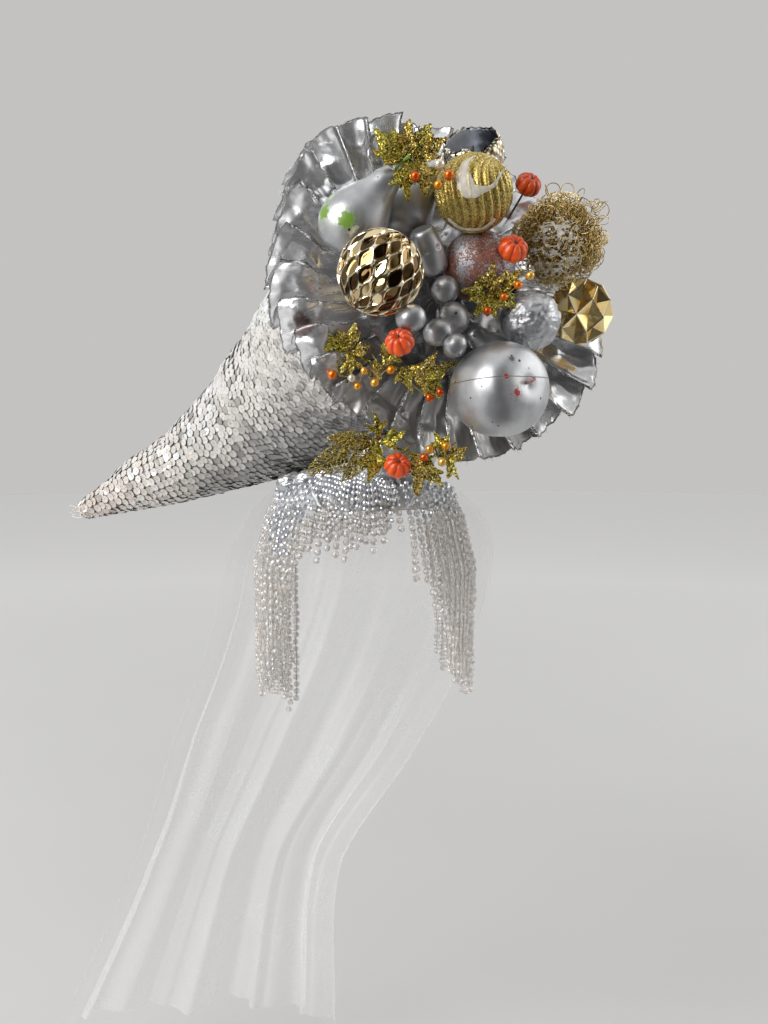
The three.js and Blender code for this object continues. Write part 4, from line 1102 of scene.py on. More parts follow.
# Gathers of cloth between the cap and the horn: x, y, z, size, and the form that they share
GATHERS = [(-68, -38, 21, 13), (-52, -48, 25, 12), (-36, -50, 29, 10)]
GATHER_FORM = (1.25, 0.9, 0.85)


def cap_point(level, angle, out=0.0):
    """A point of the dome: level from the rim at 0 to the crown at 1, angle from the front."""
    tilt = level * math.pi / 2
    wide, deep = ((CAP[key] + out) * np.cos(tilt) for key in ("half_width", "half_depth"))
    return oval(wide, deep, angle, (CAP["height"] + out) * np.sin(tilt))


def cap(look):
    around, rows = MESH["cap"]
    angle, level = np.meshgrid(steps(around), np.linspace(0, 0.97, rows))
    outer = cap_point(level, angle)
    ripple = wobble(outer, 11, 41) * 0.8 * np.sin(level * math.pi)
    outer = outer + unit(outer) * np.minimum(ripple, 0.2)[..., None]
    inner = cap_point(level, angle, -CAP["wall"])
    inner[..., 2] = np.maximum(inner[..., 2], 0)
    rings = np.concatenate([outer[::-1], inner])
    shape = Shape().add(*skin(rings, [0, 0, CAP["height"]], [0, 0, CAP["height"] - CAP["wall"]]))
    rim = cap_point(BINDING["level"], np.linspace(0, TAU, BINDING["around"]), BINDING["out"])
    shape.add(*tube(rim, BINDING["radius"] + BINDING["uneven"] * wobble(rim, 6, 43), 8), mark=1)
    along = np.linspace(0, 1, RIBBON["rows"])[:, None]
    across = np.linspace(-1, 1, RIBBON["columns"])[None]
    for start, end, width in RIBBONS:
        level = start[0] + (end[0] - start[0]) * along + 0 * across
        angle = start[1] + (end[1] - start[1]) * along + across * width / 2 / CAP["half_depth"]
        out = RIBBON["lift"] + RIBBON["wave"] * np.sin(along * 9) + across**2
        shape.add(*thick(cap_point(level, angle, out), RIBBON["cloth"]))
    for seed, (x, y, z, size) in enumerate(GATHERS):
        points, faces = ball(size, *MESH["gather"])
        crumple = 0.92 + 0.22 * (crease(points, 4.5, 48 + seed) - 0.5)
        points = points * GATHER_FORM * crumple[:, None]
        shape.add(points + [x, y, z], faces, mark=2)
    binding = mottled("binding", 1.0, 2, (0.55, 0.55, 0.54), (0.85, 0.84, 0.82), bump=0.3, rough=0.7)
    piece("cap_cloth", shape, [satin_look(), binding, look], ["cap"])


# Bead fringe

# Where the strands of each group end, by angle from the front. Side ends are up to 37 mm off their solids'
FRINGES = {
    "fringe_left": [
        (-42, -74), (-48, -104), (-58, -150), (-70, -186), (-82, -176), (-94, -166), (-106, -200),
        (-118, -216), (-130, -222),
    ],
    "fringe_front": [(-30, -43), (-18, -44), (-6, -38), (6, -30), (18, -18)],
    "fringe_right": [
        (32, -62), (44, -100), (56, -160), (68, -182), (80, -178), (92, -160), (104, -174), (116, -182),
        (128, -188),
    ],
}

# Beads: radius, share of it for either kind, pitch on a strand, step between strands and the radius where
# it is measured, radius of the thread
BEAD = {
    "radius": 2.8, "silver": 0.85, "clear": 1.15, "pitch": 7.6, "strand_step": 8.8, "hang": 100,
    "thread": 0.35,
}

# Least and most by which a strand's end, and the end of its silver beads, stray
END_STRAY = (-9, 7)
SILVER_STRAY = (-14, 14)

# Silver beads end at the cap's edge, but reach lower at one angle: depth, angle, spread
SILVER_DIP = (50, -54, 16)

# How high on the dome the strands start: past the side angle, in front, and in the front's inmost layer
SIDE_ANGLE = 62
SIDE_START = 0.3
FRONT_START = 0.62
EDGE_START = 0.1

# Layers: shift round the cap in strand steps, depth inside the outer layer, least and most share of length
FRONT_LAYERS = [(0, 0, 1, 1), (0.5, 0.3, 0.35, 0.8), (0.25, 3, 0.3, 0.7)]
SIDE_LAYERS = [(0, 0, 1, 1), (0.5, 6.5, 0.9, 1)]


def drape(angle, z, inward):
    """Where a strand hangs at a height, by its angle from the front."""
    heights, outs = zip(*DRAPE_ROWS[::-1])
    out = np.interp(z, heights, outs) - inward
    return oval(out, out + DEEPER, angle, z)


def strand_line(angle, start, end, inward, rng):
    """Line of a strand: over the cap's dome, then down."""
    levels = np.arange(start, 0.05, -0.1)
    over = cap_point(levels, angle, BEAD["radius"] + 1.2 - inward)
    heights = np.append(np.arange(4, end + 6, -16), end)
    down = drape(angle, heights, inward)
    down[:, :2] += rng.normal(0, 0.9, (len(heights), 2)) * np.linspace(0, 1, len(heights))[:, None]
    corners = np.concatenate([over, down])
    line = smooth_line(corners, 12 * len(corners))
    return line, run(line)


def fringe(name, seed, looks):
    """A group of strands in layers. The front's inner ones are shorter, and close gaps at the cap's edge."""
    rng = draws("beads", seed)
    at, ends = np.array(sorted(FRINGES[name]), float).T
    step = math.degrees(BEAD["strand_step"] / BEAD["hang"])
    pitch = BEAD["pitch"]
    dip, dip_angle, dip_spread = SILVER_DIP
    shape = Shape()
    bead, faces = ball(BEAD["radius"], *MESH["bead"])
    places, tints, marks = [], [], []
    layers = FRONT_LAYERS if name == "fringe_front" else SIDE_LAYERS
    for layer, (shift, inward, shortest, longest) in enumerate(layers):
        for degrees in np.arange(at[0] - 4 + shift * step, at[-1] + 4, step):
            degrees = degrees + rng.uniform(-0.5, 0.5)
            start = SIDE_START if abs(degrees) > SIDE_ANGLE else FRONT_START if layer < 2 else EDGE_START
            end = np.interp(degrees, at, ends) * rng.uniform(shortest, longest) + rng.uniform(*END_STRAY)
            start = start + rng.uniform(-0.02, 0.02)
            line, length = strand_line(math.radians(degrees), start, end, inward, rng)
            first = pitch * (0.5 * (layer % 2) + rng.uniform(-0.3, 0.3)) + pitch / 3
            stops = np.arange(first, length[-1], pitch)
            spots = np.stack([np.interp(stops, length, line[:, k]) for k in range(3)], axis=1)
            places.append(spots)
            edge = rng.uniform(*SILVER_STRAY, len(spots)) - dip * bell(degrees, dip_angle, dip_spread)
            marks.append(spots[:, 2] > edge)
            tints.append(rng.uniform(0, 1, len(spots)))
            shape.add(*tube(line[::4], BEAD["thread"], 3), mark=2)
    places, tints, marks = (np.concatenate(rows) for rows in (places, tints, marks))
    frames = np.array([turn(spin=math.degrees(angle)) for angle in rng.uniform(0, TAU, len(places))])
    for mark, chosen, size in ((0, ~marks, BEAD["clear"]), (1, marks, BEAD["silver"])):
        if chosen.any():
            points, copies = scatter(bead * size, faces, frames[chosen], places[chosen])
            shape.add(points, copies, mark=mark, tint=np.repeat(tints[chosen], len(bead)))
    piece(name + "_beads", shape, looks, [name], smooth=False)


# Veil

# Top and drop of the sheet, its mesh, finer down to where the top ends, and how many folds of each size
VEIL = {"top": 16, "drop": 626, "columns": 241, "top_rows": 18, "top_end": -10, "next": -13, "rows": 82}
FOLDS = {"main": 6, "small": 17, "tiny": 41}


def veil():
    """One open sheet with folds of three sizes, which deepen as it falls."""
    rows = np.array(VEIL_ROWS, float)
    upper = np.linspace(VEIL["top"], VEIL["top_end"], VEIL["top_rows"])
    heights = np.concatenate([upper, np.linspace(VEIL["next"], VEIL_ROWS[-1][0], VEIL["rows"])])
    at = np.interp(-heights, -rows[:, 0], np.arange(len(rows)))
    _, left, right, ends, back, fold = spline(rows, at).T[..., None]
    share = np.linspace(0, 1, VEIL["columns"])[None]
    angle = math.pi * share
    fall = np.clip((VEIL["top"] - heights) / VEIL["drop"], 0, 1)[:, None]
    drift = 0.35 * np.sin(share * 5 + 1) * fall
    main = np.sin((share + drift * 0.05) * FOLDS["main"] * TAU)
    small = np.sin(share * FOLDS["small"] * TAU + 1.2 * np.sin(share * 9) + 1.5 * fall) * (1.2 + 3.0 * fall)
    tiny = np.sin(share * FOLDS["tiny"] * TAU + fall * 4) * (0.9 - 0.3 * fall)
    loose = np.clip(fall * 40, 0, 1)
    depth = (np.maximum(fold, 0) * main * 0.75 + (small + tiny) * loose) * (0.5 + 0.5 * np.sin(angle))
    x = (left + right) / 2 - ((right - left) / 2 + depth) * np.cos(angle)
    y = ends + (back - ends + depth) * np.sin(angle)
    hem = 4 * np.sin(share * 11) + 3 * np.sin(share * 23 + 1)
    surface = xyz(x, y, heights[:, None] + np.clip(fall * 2 - 1, 0, 1) * (6 + hem))
    tint = np.broadcast_to(np.clip(2.2 * np.sin(angle), 0, 1), x.shape).ravel()
    shape = Shape().add(surface.reshape(-1, 3), [grid(len(heights), VEIL["columns"])], tint=tint)
    made = piece("veil_tulle", shape, [tulle_look()], ["veil"])


# Fruit and baubles

PAINT_CHIP = (0.30, 0.025, 0.02)
BARE_GREEN = (0.13, 0.25, 0.02)
PEAR_SPOTS = [
    ((-30, -152, 257), 7.5, BARE_GREEN), ((-12.5, -167, 249), 7.5, BARE_GREEN),
    ((-27, -148, 272), 7, (0.32, 0.40, 0.27)), ((-27, -160, 226), 4, (0.10, 0.14, 0.05)),
]
APPLE_SPOTS = [
    ((128, -179, 106), 4.2, PAINT_CHIP), ((120.5, -184, 120), 2.6, PAINT_CHIP),
    ((125, -176, 134), 2.4, (0.1, 0.1, 0.1)),
]
APPLE_SEAM = ((117, -150, 116), (-0.06, 0.1, 1.0))
REAR_SPOTS = [((57, -128, 253), 4, BARE_GREEN)]

# Fruit under this radius has the smaller mesh
SMALL_RADIUS = 20

# Uneven moulding of the fruit: size, shift of the seed, depth. Size and depth are shares of the radius
MOULDING = [(1.3, 0, 0.02), (0.3, 50, 0.004)]

# Dimples round the gourd: count, level and spread as shares of its radius, depth
DIMPLES = {"count": 7, "level": 0.35, "spread": 0.12, "depth": 0.09}

# Fruit turned on an axis: node, profile with ends, radius, roll, lean
FRUIT = [
    ("pear", PEAR, 30, 40, 8), ("pear_rear", PEAR, 26, 40, 10), ("pear_low", PEAR, 22, -48, 20),
    ("apple", APPLE, 40.5, 80, 51), ("gourd", GOURD, 13.5, -20, 25), ("grape_1", GRAPE, 12, 20, 40),
    ("grape_2", GRAPE, 13, -30, 30), ("grape_3", GRAPE, 12, 70, 20), ("grape_4", GRAPE, 10, 30, 30),
    ("grape_5", GRAPE, 11.5, 80, 10),
]


def fruit():
    plain = silver_paint("silver_paint")
    looks = {
        "pear": silver_paint("pear_paint", PEAR_SPOTS),
        "apple": silver_paint("apple_paint", APPLE_SPOTS, APPLE_SEAM),
        "pear_rear": silver_paint("rear_paint", REAR_SPOTS),
    }
    for seed, (node, form, radius, *turned) in enumerate(FRUIT):
        mesh = MESH["small_fruit" if radius < SMALL_RADIUS else "large_fruit"]
        points, faces = lathe(*form, radius, *mesh)
        out = unit(points + 1e-6)
        for size, shift, depth in MOULDING:
            points = points + out * (wobble(points, radius * size, seed + shift) * radius * depth)[:, None]
        if form is GOURD:
            around = np.cos(np.arctan2(points[:, 1], points[:, 0]) * DIMPLES["count"])
            level = bell(points[:, 2] / radius, DIMPLES["level"], DIMPLES["spread"])
            points[:, :2] *= (1 - DIMPLES["depth"] * (level * np.clip(around, 0, 1)))[:, None]
        dress(node + "_skin", node, (points, faces), looks.get(node, plain), "silver_fruit", turned)


# Stems: node, line, radii, roll and lean, how far the tip comes forward, name and shades of the look
STALKS = [
    ("pear_stem", [(0, 0, -7), (0.4, 0, -2), (1.6, 0, 3), (3, 0, 8)], [1.5, 1.2, 1.1, 1.7], (40, 8), 11,
     ("green_stalk", (0.14, 0.26, 0.02), (0.40, 0.58, 0.14))),
    ("apple_stem", [(0, 0, -9), (-0.6, 0, -3), (-2, 0, 4), (-4, 0, 10)], [1.6, 1.2, 1.2, 1.7], (80, 51), 0,
     ("red_stalk", (0.20, 0.03, 0.03), (0.48, 0.30, 0.30))),
]


def stalks():
    for node, corners, radii, turned, forward, look in STALKS:
        radius = np.interp(np.linspace(0, 3, 24), range(4), radii)
        points, faces = tube(smooth_line(corners, 24), radius, 12)
        points = seat(points + wobble(points, 2.5, 61)[:, None] * 0.18, node, *turned)
        share = (points[:, 2] - points[:, 2].min()) / np.ptp(points[:, 2])
        points[:, 1] -= forward * share
        piece(node + "_stalk", Shape().add(points, faces), [stalk_look(*look)], [node])


# Faceted baubles: size, rhombs around and rows of them, turn of the whole, and the form of each rhomb
MIRROR = {
    "radius": 36, "around": 15, "rows": 9, "turned": (35,), "steps": 10, "flat": 0.76, "depth": 0.045,
    "lean": 0.034,
}
STAR = {"radius": 31, "around": 7, "rows": 5, "turned": (8, 12, 10), "rim": 0.09, "inset": 0.985, "dent": 0.7}


def rhombs(form):
    """Corners of the staggered rhombs of a globe: top, left, bottom and right of each."""
    around, rows = form["around"], form["rows"]
    row, step = (value.ravel() for value in np.mgrid[1 : rows + 1, 0:around])
    step = step + (row % 2) * 0.5
    places = []
    for level, at in ((row - 1, step + 0.5), (row, step), (row + 1, step + 0.5), (row, step + 1)):
        tilt = level / (rows + 1) * math.pi
        places.append(oval(np.sin(tilt), np.sin(tilt), at / around * TAU, np.cos(tilt)))
    return form["radius"] * np.stack(places, axis=1)


def mirror_bauble():
    """Rhombs as flat-bottomed dishes with bevels, each leaning its own way."""
    rng = draws("mirror")
    corners = rhombs(MIRROR)
    count, side = len(corners), MIRROR["steps"] + 1
    u, v = np.meshgrid(np.linspace(-1, 1, side), np.linspace(-1, 1, side))
    shares = [(1 - u) * (1 - v), (1 + u) * (1 - v), (1 + u) * (1 + v), (1 - u) * (1 + v)]
    weights = np.stack(shares, axis=-1).reshape(-1, 4) / 4
    spots = unit(np.einsum("kc,ncx->nkx", weights, corners))
    from_middle = np.cbrt(np.abs(u) ** 3 + np.abs(v) ** 3).ravel()
    hollow = 1 - np.clip((from_middle - MIRROR["flat"]) / (1 - MIRROR["flat"]), 0, 1) ** 1.3
    deep = MIRROR["depth"] * rng.uniform(0.7, 1.3, (count, 1))
    lean = rng.normal(0, MIRROR["lean"], (count, 2)) @ np.stack([u, v]).reshape(2, -1)
    points = spots * (MIRROR["radius"] * (1 - deep * hollow + lean * hollow))[..., None]
    faces = (grid(side, side)[None] + np.arange(count)[:, None, None] * side**2).reshape(-1, 4)
    values = {"tint": np.repeat(rng.uniform(size=count), side**2), "hub": np.tile(1 - hollow, count)}
    form = (points.reshape(-1, 3), [faces])
    dress("mirror_facets", "mirror_bauble", form, mirror_look(), "mirror_gold", MIRROR["turned"], **values)


def star_bauble():
    """Rhombs pressed in as pyramids inside a raised edge."""
    corners = rhombs(STAR)
    middle = corners.mean(1, keepdims=True)
    inner = (corners + (middle - corners) * STAR["rim"]) * STAR["inset"]
    tip = unit(middle) * STAR["radius"] * STAR["dent"]
    points = np.concatenate([corners, inner, inner, tip], axis=1)
    here, after = np.arange(4), (np.arange(4) + 1) % 4
    sides = np.stack([here, after, after + 4, here + 4], axis=1)
    fan = np.stack([here + 8, after + 8, np.full(4, 12)], axis=1)
    starts = np.arange(len(corners))[:, None, None] * points.shape[1]
    faces = [(group[None] + starts).reshape(-1, group.shape[1]) for group in (sides, fan)]
    edge = np.tile(np.repeat([1.0, 0.0], [8, 5]), len(corners))
    form = (points.reshape(-1, 3), faces)
    values = {"smooth": False, "hub": edge}
    dress("star_facets", "star_bauble", form, facet_look(), "gold_facet", STAR["turned"], **values)


RIBS = {"radius": 34, "turned": (30, 15), "count": 20, "depth": 0.085, "twist": 0.9}


def glitter_bauble():
    points, faces = ball(RIBS["radius"], *MESH["glitter"])
    angle = np.arctan2(points[:, 1], points[:, 0]) + RIBS["twist"] * points[:, 2] / RIBS["radius"]
    flat = np.hypot(points[:, 0], points[:, 1]) / RIBS["radius"]
    groove = flat * (0.5 - 0.5 * np.cos(angle * RIBS["count"]))
    form = (points * (1 - RIBS["depth"] * groove)[:, None], faces)
    look = glitter_look("gold_glitter", 0.6, 0.5, GROOVE_SHADE_STOPS, RIB_STOPS)
    # Tint is low in the grooves, which take the darker shades: painted shade.
    dress("glitter_skin", "glitter_bauble", form, look, "gold_glitter", RIBS["turned"], tint=1 - groove)


# Dried glue: x and z from the bauble's middle as seen from the front, and the width there
GLUE_STROKES = [
    [
        (0, 28, 1.4), (-9, 20, 6), (-11, 8, 13), (-6, -3, 15), (4, -3, 7), (14, 1, 3.5), (21, 12, 2.4),
        (27, 21, 1.4),
    ],
    [(-22, -24, 5), (-11, -31, 6), (4, -32, 4), (13, -28, 5), (17, -24, 3)],
]

# Torn film of glue on the wire ball: middle and reach as seen from the front, mesh size, thickness
GLUE_FILM = {"middle": (-7, -11), "reach": (23, 25), "step": 0.9, "body": 0.9}


def glue_stroke(stroke, radius, seed):
    """A flat smear on the front of a ball."""
    line = smooth_line(stroke, 14 * len(stroke))
    depth = np.sqrt(np.maximum(radius**2 - line[:, 0] ** 2 - line[:, 1] ** 2, 4))
    spine = xyz(line[:, 0], -depth, line[:, 1])
    out = unit(spine)[:, None]
    side = unit(np.cross(np.gradient(spine, axis=0), spine))[:, None]
    angle = steps(12)
    width = line[:, 2:3] * (1 + 0.3 * wobble(spine, 4, seed)[:, None]) / 2 * np.cos(angle)
    rise = np.minimum(line[:, 2:3] * 0.15, 0.7) * np.sin(angle)
    rings = spine[:, None] + side * width[..., None] + out * (rise - width**2 / (2 * radius))[..., None]
    return skin(rings, spine[0], spine[-1])


def film(front, back, kept):
    """Points and faces of a closed sheet between two grids, over the kept cells only."""
    index = np.arange(front[..., 0].size).reshape(front.shape[:2])
    size = index.size
    low, high = index[:-1], index[1:]
    corners = {(0, 0): low[:, :-1], (0, 1): low[:, 1:], (1, 1): high[:, 1:], (1, 0): high[:, :-1]}
    quads = np.stack(list(corners.values()), axis=-1)[kept]
    faces = [quads, quads[:, ::-1] + size]
    padded = np.pad(kept, 1)
    sides = [
        ((0, 1), (0, 0), (0, 1)), ((2, 1), (1, 1), (1, 0)), ((1, 0), (1, 0), (0, 0)),
        ((1, 2), (0, 1), (1, 1)),
    ]
    for (row, column), start, end in sides:
        bare = kept & ~padded[row : row + kept.shape[0], column : column + kept.shape[1]]
        a, b = corners[start][bare], corners[end][bare]
        faces.append(np.stack([b, a, a + size, b + size], axis=1))
    used, faces = np.unique(np.concatenate(faces), return_inverse=True)
    return np.concatenate([front.reshape(-1, 3), back.reshape(-1, 3)])[used], [faces.reshape(-1, 4)]


def glue_film(radius):
    """Glue stretched between wires over the front of a ball, full of holes."""
    (x, z), (wide, tall) = GLUE_FILM["middle"], GLUE_FILM["reach"]
    reach = np.arange(-1.2, 1.2, GLUE_FILM["step"] / wide)
    across, up = np.meshgrid(x + reach * wide, z + reach * tall)
    flat = xyz(across, 0, up)
    level = radius * (0.94 + 0.06 * wobble(flat, 7, 85))
    front = flat - np.sqrt(np.maximum(level**2 - across**2 - up**2, 9))[..., None] * [0, 1, 0]
    web = wobble(flat, 7, 86) + 0.7 * wobble(flat, 3, 87)
    away = np.hypot(*np.meshgrid(reach, reach))
    kept = (np.abs(web) < 0.42 - 0.25 * away) & (away < 1)
    return film(front, front + unit(front) * GLUE_FILM["body"], kept[:-1, :-1])


def glue():
    """Smears on the glitter bauble and a film on the wire ball."""
    shape = Shape()
    middle, radius = node_ball("glitter_bauble")
    for seed, stroke in enumerate(GLUE_STROKES):
        points, faces = glue_stroke(stroke, radius, 81 + seed)
        shape.add(points + middle, faces)
    middle, radius = node_ball("wire_ball")
    points, faces = glue_film(radius)
    shape.add(points + middle, faces)
    look = mottled(
        "glue", 6, 3, (0.66, 0.62, 0.53), (0.88, 0.86, 0.80), bump=0.6, rough=0.3, coat=0.5, coat_rough=0.12,
        alpha=0.45,
    )
    piece("glue", shape, [look])


BROKEN = {
    "radius": 29, "inner": 26.2, "studs": 1.4, "opening": 62, "ragged": 3.5, "turned": (-12, 38),
    "around": 144, "levels": 44,
}


def broken_layer(radius, studs):
    """Rings of a globe up to a ragged mouth, with studs of the given height."""
    angle = steps(BROKEN["around"])
    ragged = np.sin(angle * 5 + 1) + 0.6 * np.sin(angle * 8 + 2) + 0.35 * np.sin(angle * 23)
    edge = np.radians(BROKEN["opening"] + BROKEN["ragged"] * ragged)
    share = np.linspace(1 / BROKEN["levels"], 1, BROKEN["levels"])[:, None]
    tilt = math.pi - share * (math.pi - edge)
    high = np.abs(np.sin(10 * angle + 9 * tilt) * np.sin(10 * angle - 9 * tilt)) ** 0.6
    size = radius - (studs - studs * high)
    return oval(size * np.sin(tilt), size * np.sin(tilt), angle, size * np.cos(tilt))


def broken_bauble():
    """A hollow shell with a ragged mouth, studded outside, its inside painted pale to black as light and
    shade, with chips along its rim.
    """
    around, node = BROKEN["around"], "broken_bauble"
    outer, inner = broken_layer(BROKEN["radius"], BROKEN["studs"]), broken_layer(BROKEN["inner"], 0)
    points, faces = skin(np.concatenate([outer, inner[::-1]]), outer[0].mean(0), inner[0].mean(0))
    shape = Shape().add(seat(points, node, *BROKEN["turned"]), faces)
    shape.marks[0] = np.where(faces[0].min(1) >= (BROKEN["levels"] - 1) * around, 1, 0)
    shape.marks[2] = np.ones(around)
    mosaic = mosaic_look()
    piece("broken_shell", shape, [mosaic, lining_look(node)], [node])
    rng = draws("chips")
    rim, chips = outer[-1], Shape()
    chip_faces = [np.array([[0, 1, 2, 3]]), np.array([[0, 1, 4], [1, 2, 4], [2, 3, 4], [3, 0, 4]])]
    for k in range(0, around, 3):
        out, along = unit(rim[k]), unit(rim[(k + 2) % around] - rim[k - 2])
        up = np.cross(along, out)
        wide, tall = rng.uniform(1.3, 2.4, 2)
        base = [(-1, -1), (1, -1), (1, 1), (-1, 1)]
        corners = [rim[k] + along * a * wide + up * b * tall - out for a, b in base]
        corners.append(rim[k] + out * rng.uniform(0.6, 1.4) + along * rng.normal(0, 0.6))
        chip = seat(np.array(corners), node, *BROKEN["turned"], guide=points)
        chips.add(chip, chip_faces, tint=rng.choice([0.0, 1.0]))
    piece("broken_rim", chips, [mosaic], smooth=False)


RUST_RADIUS = 32
FOIL_RADIUS = 27

# Bumps of the rust ball and folds of the foil: depth as a share of the radius, size, seed
RUST_BUMPS = [(0.006, 3, 91), (0.01, 14, 92)]
FOIL_FOLDS = [(0.05, 12, 93), (0.05, 5, 94), (0.02, 2.4, 96)]


def plain_baubles():
    points, faces = ball(RUST_RADIUS, *MESH["rust"])
    bumps = sum((depth * wobble(points, size, seed) for depth, size, seed in RUST_BUMPS), 1)
    dress("rust_skin", "rust_ball", (points * bumps[:, None], faces), rust_look(), "rust")
    points, faces = ball(FOIL_RADIUS, *MESH["foil"])
    dents = sum(depth * (crease(points, size, seed) - 0.5) for depth, size, seed in FOIL_FOLDS)
    dress("foil_skin", "foil_ball", (points * (0.97 + dents)[:, None], faces), foil_look(), "foil")


WIRE = {"strands": 150, "steps": 64, "radius": 0.42, "curl": 5.2, "loops": 18, "stand_out": 11}


def held_in(line, reach):
    """A line drawn in to stay within a distance of its middle."""
    return line * np.minimum(1, reach / np.linalg.norm(line, axis=1, keepdims=True))


def wire_ball():
    """A tangle of curled wire, with loose loops standing out to the upper right as seen from the front."""
    rng = draws("wire")
    centre, size = node_ball("wire_ball")
    shape = Shape()
    share = np.linspace(0, 1, WIRE["steps"])[:, None]
    for _ in range(WIRE["strands"]):
        pole, start = unit(rng.normal(size=3)), unit(rng.normal(size=3))
        start = unit(start - pole * (start @ pole))
        angle = share * rng.uniform(1.1, 2.2)
        depth = rng.uniform(0, 1)
        out = start * np.cos(angle) + np.cross(pole, start) * np.sin(angle)
        curl = WIRE["curl"] * rng.uniform(0.6, 1.25)
        phase = rng.uniform(0, TAU) + share * TAU * rng.uniform(4, 7)
        line = out * (size * (0.55 + 0.38 * depth) + curl * np.cos(phase)) + pole * curl * 1.3 * np.sin(phase)
        line = held_in(line + rng.normal(0, 0.25, (WIRE["steps"], 3)), size * 1.04)
        # Deeper strands get lower tints and turn darker: painted shade inside the tangle, with some random
        # spread.
        shape.add(*tube(centre + line, WIRE["radius"], 3), tint=depth * rng.uniform(0.4, 1))
    angle = np.linspace(0.3, TAU - 0.3, 28)[:, None]
    for _ in range(WIRE["loops"]):
        toward = unit(np.array([rng.uniform(-0.3, 1), rng.uniform(-0.5, 0.3), rng.uniform(-0.2, 1)]))
        across = unit(np.cross(toward, rng.normal(size=3)))
        loop = rng.uniform(5, 9)
        away = size * 0.95 - loop * 0.4 + loop * (1 - np.cos(angle))
        line = held_in(toward * away + across * loop * np.sin(angle), size + WIRE["stand_out"])
        shape.add(*tube(centre + line, WIRE["radius"] * 0.9, 4), tint=rng.uniform(0, 0.5))
    piece("wire_tangle", shape, [wire_look()], ["wire_ball"])


PUMPKIN = {"lobes": 8, "groove": 0.11, "squat": 0.84, "dip": 0.34, "wire": 45, "stem": (0.16, 0, 1.2)}

# Pumpkins: node, radius, roll, lean. The first stands on a wire
PUMPKINS = [
    ("pumpkin_1", 12.5, 30, 40), ("pumpkin_2", 13, 20, 50), ("pumpkin_3", 12.5, -20, 50),
    ("pumpkin_4", 12, 20, 55),
]


def pumpkins():
    looks = [pumpkin_look(), stalk_look("pumpkin_stalk", (0.03, 0.015, 0.005), (0.12, 0.06, 0.02))]
    for seed, (node, radius, roll, lean) in enumerate(PUMPKINS):
        points, faces = ball(radius, *MESH["pumpkin"])
        angle = np.arctan2(points[:, 1], points[:, 0])
        flat = np.hypot(points[:, 0], points[:, 1]) / radius
        groove = np.abs(np.sin(angle * PUMPKIN["lobes"] / 2)) ** 0.8
        points = points * (1 - PUMPKIN["groove"] * flat**0.5 * (1 - groove))[:, None]
        points[:, 2] *= PUMPKIN["squat"] * (1 - PUMPKIN["dip"] * bell(flat, 0, 0.3))
        points = points + unit(points) * (wobble(points, 5, 111 + seed) * 0.18)[:, None]
        # Low tint in the grooves and near the poles darkens them: painted shade.
        tint = np.clip(groove * (0.3 + 0.8 * flat) + 0.1 * wobble(points, 4, 115 + seed), 0, 1)
        nub = np.linspace(0.4, 0.66, 6)[:, None] * np.array([0.05, 0, radius])
        stub = tube(nub, radius * np.linspace(0.12, 0.09, 6), 8)
        parts = [(points, faces, 0, tint), (*stub, 1, 0.0)]
        guide = [points, [radius * np.array(PUMPKIN["stem"])]]
        if seed == 0:
            pick = np.linspace(-0.3 * radius, -PUMPKIN["wire"], 8)[:, None] * np.array([0, 0, 1])
            parts.append((*tube(pick, 1, 8), 1, 0.0))
            guide.append(pick)
        shape = Shape()
        for local, groups, mark, tints in parts:
            shape.add(seat(local, node, roll, lean, guide=np.concatenate(guide)), groups, mark, tints)
        piece(node + "_skin", shape, looks, [node])


# Leaves and berries

LEAF = {"rows": 28, "columns": 9, "cloth": 1.1, "cup": 0.5, "vein": 0.6, "net": 150}

# Stem of a spray, and the line and radii of the twigs on it
STEM_RADIUS = 1.2
TWIG = np.array([(0, 0, 0), (0, -3, 0), (0, -5, 0)])
TWIG_RADII = (0.8, 0.7, 0.9)

# Wire of a sprig, and how much longer than wide a berry is
SPRIG_WIRE = 0.45
BERRY_LENGTH = 1.12

# Leaves of bare veins, by spray
SKELETONS = {"spray_cap": (0, 1, 2)}


def leaf_surface(length, width, rng):
    """Grid of a narrow, round-ended leaf along +X, cupped, twisted and curled, its face to the front."""
    t = np.linspace(0, 1, LEAF["rows"])[:, None]
    s = np.linspace(-1, 1, LEAF["columns"])[None]
    body = np.sin(math.pi * np.clip(t, 0.015, 0.985) ** 0.78) ** 0.75
    edge = 1 + 0.2 * np.sin(t * 12 + rng.uniform(0, 6)) + 0.07 * np.sin(t * 29 + rng.uniform(0, 6))
    half = width * 0.5 * body * edge + 0.4
    cup = LEAF["cup"] * half * s**2 * rng.uniform(-0.5, 1.2)
    vein = LEAF["vein"] * bell(s, 0, 0.16) * (1 - t)
    twist = rng.uniform(-1.2, 1.2) * t
    across = s * half * np.cos(twist) - cup * np.sin(twist)
    rise = s * half * np.sin(twist) + cup * np.cos(twist)
    bow = -length * 0.1 * np.sin(t * math.pi) + length * rng.uniform(-0.2, 0.2) * t**3
    sway = length * rng.uniform(-0.12, 0.12) * np.sin(t * math.pi)
    surface = xyz(length * t, bow + rise - vein, across + sway)
    return surface + 0.5 * wobble(surface, 1.3, int(rng.integers(1000)))[..., None]


def turned_leaf(points, x, z, degrees, depth=0.0):
    """A leaf lifted to the front, turned as seen from the front, and set on its stem."""
    return points @ turn(roll=-degrees, spin=-LEAF_LIFT).T + [x, depth, z]


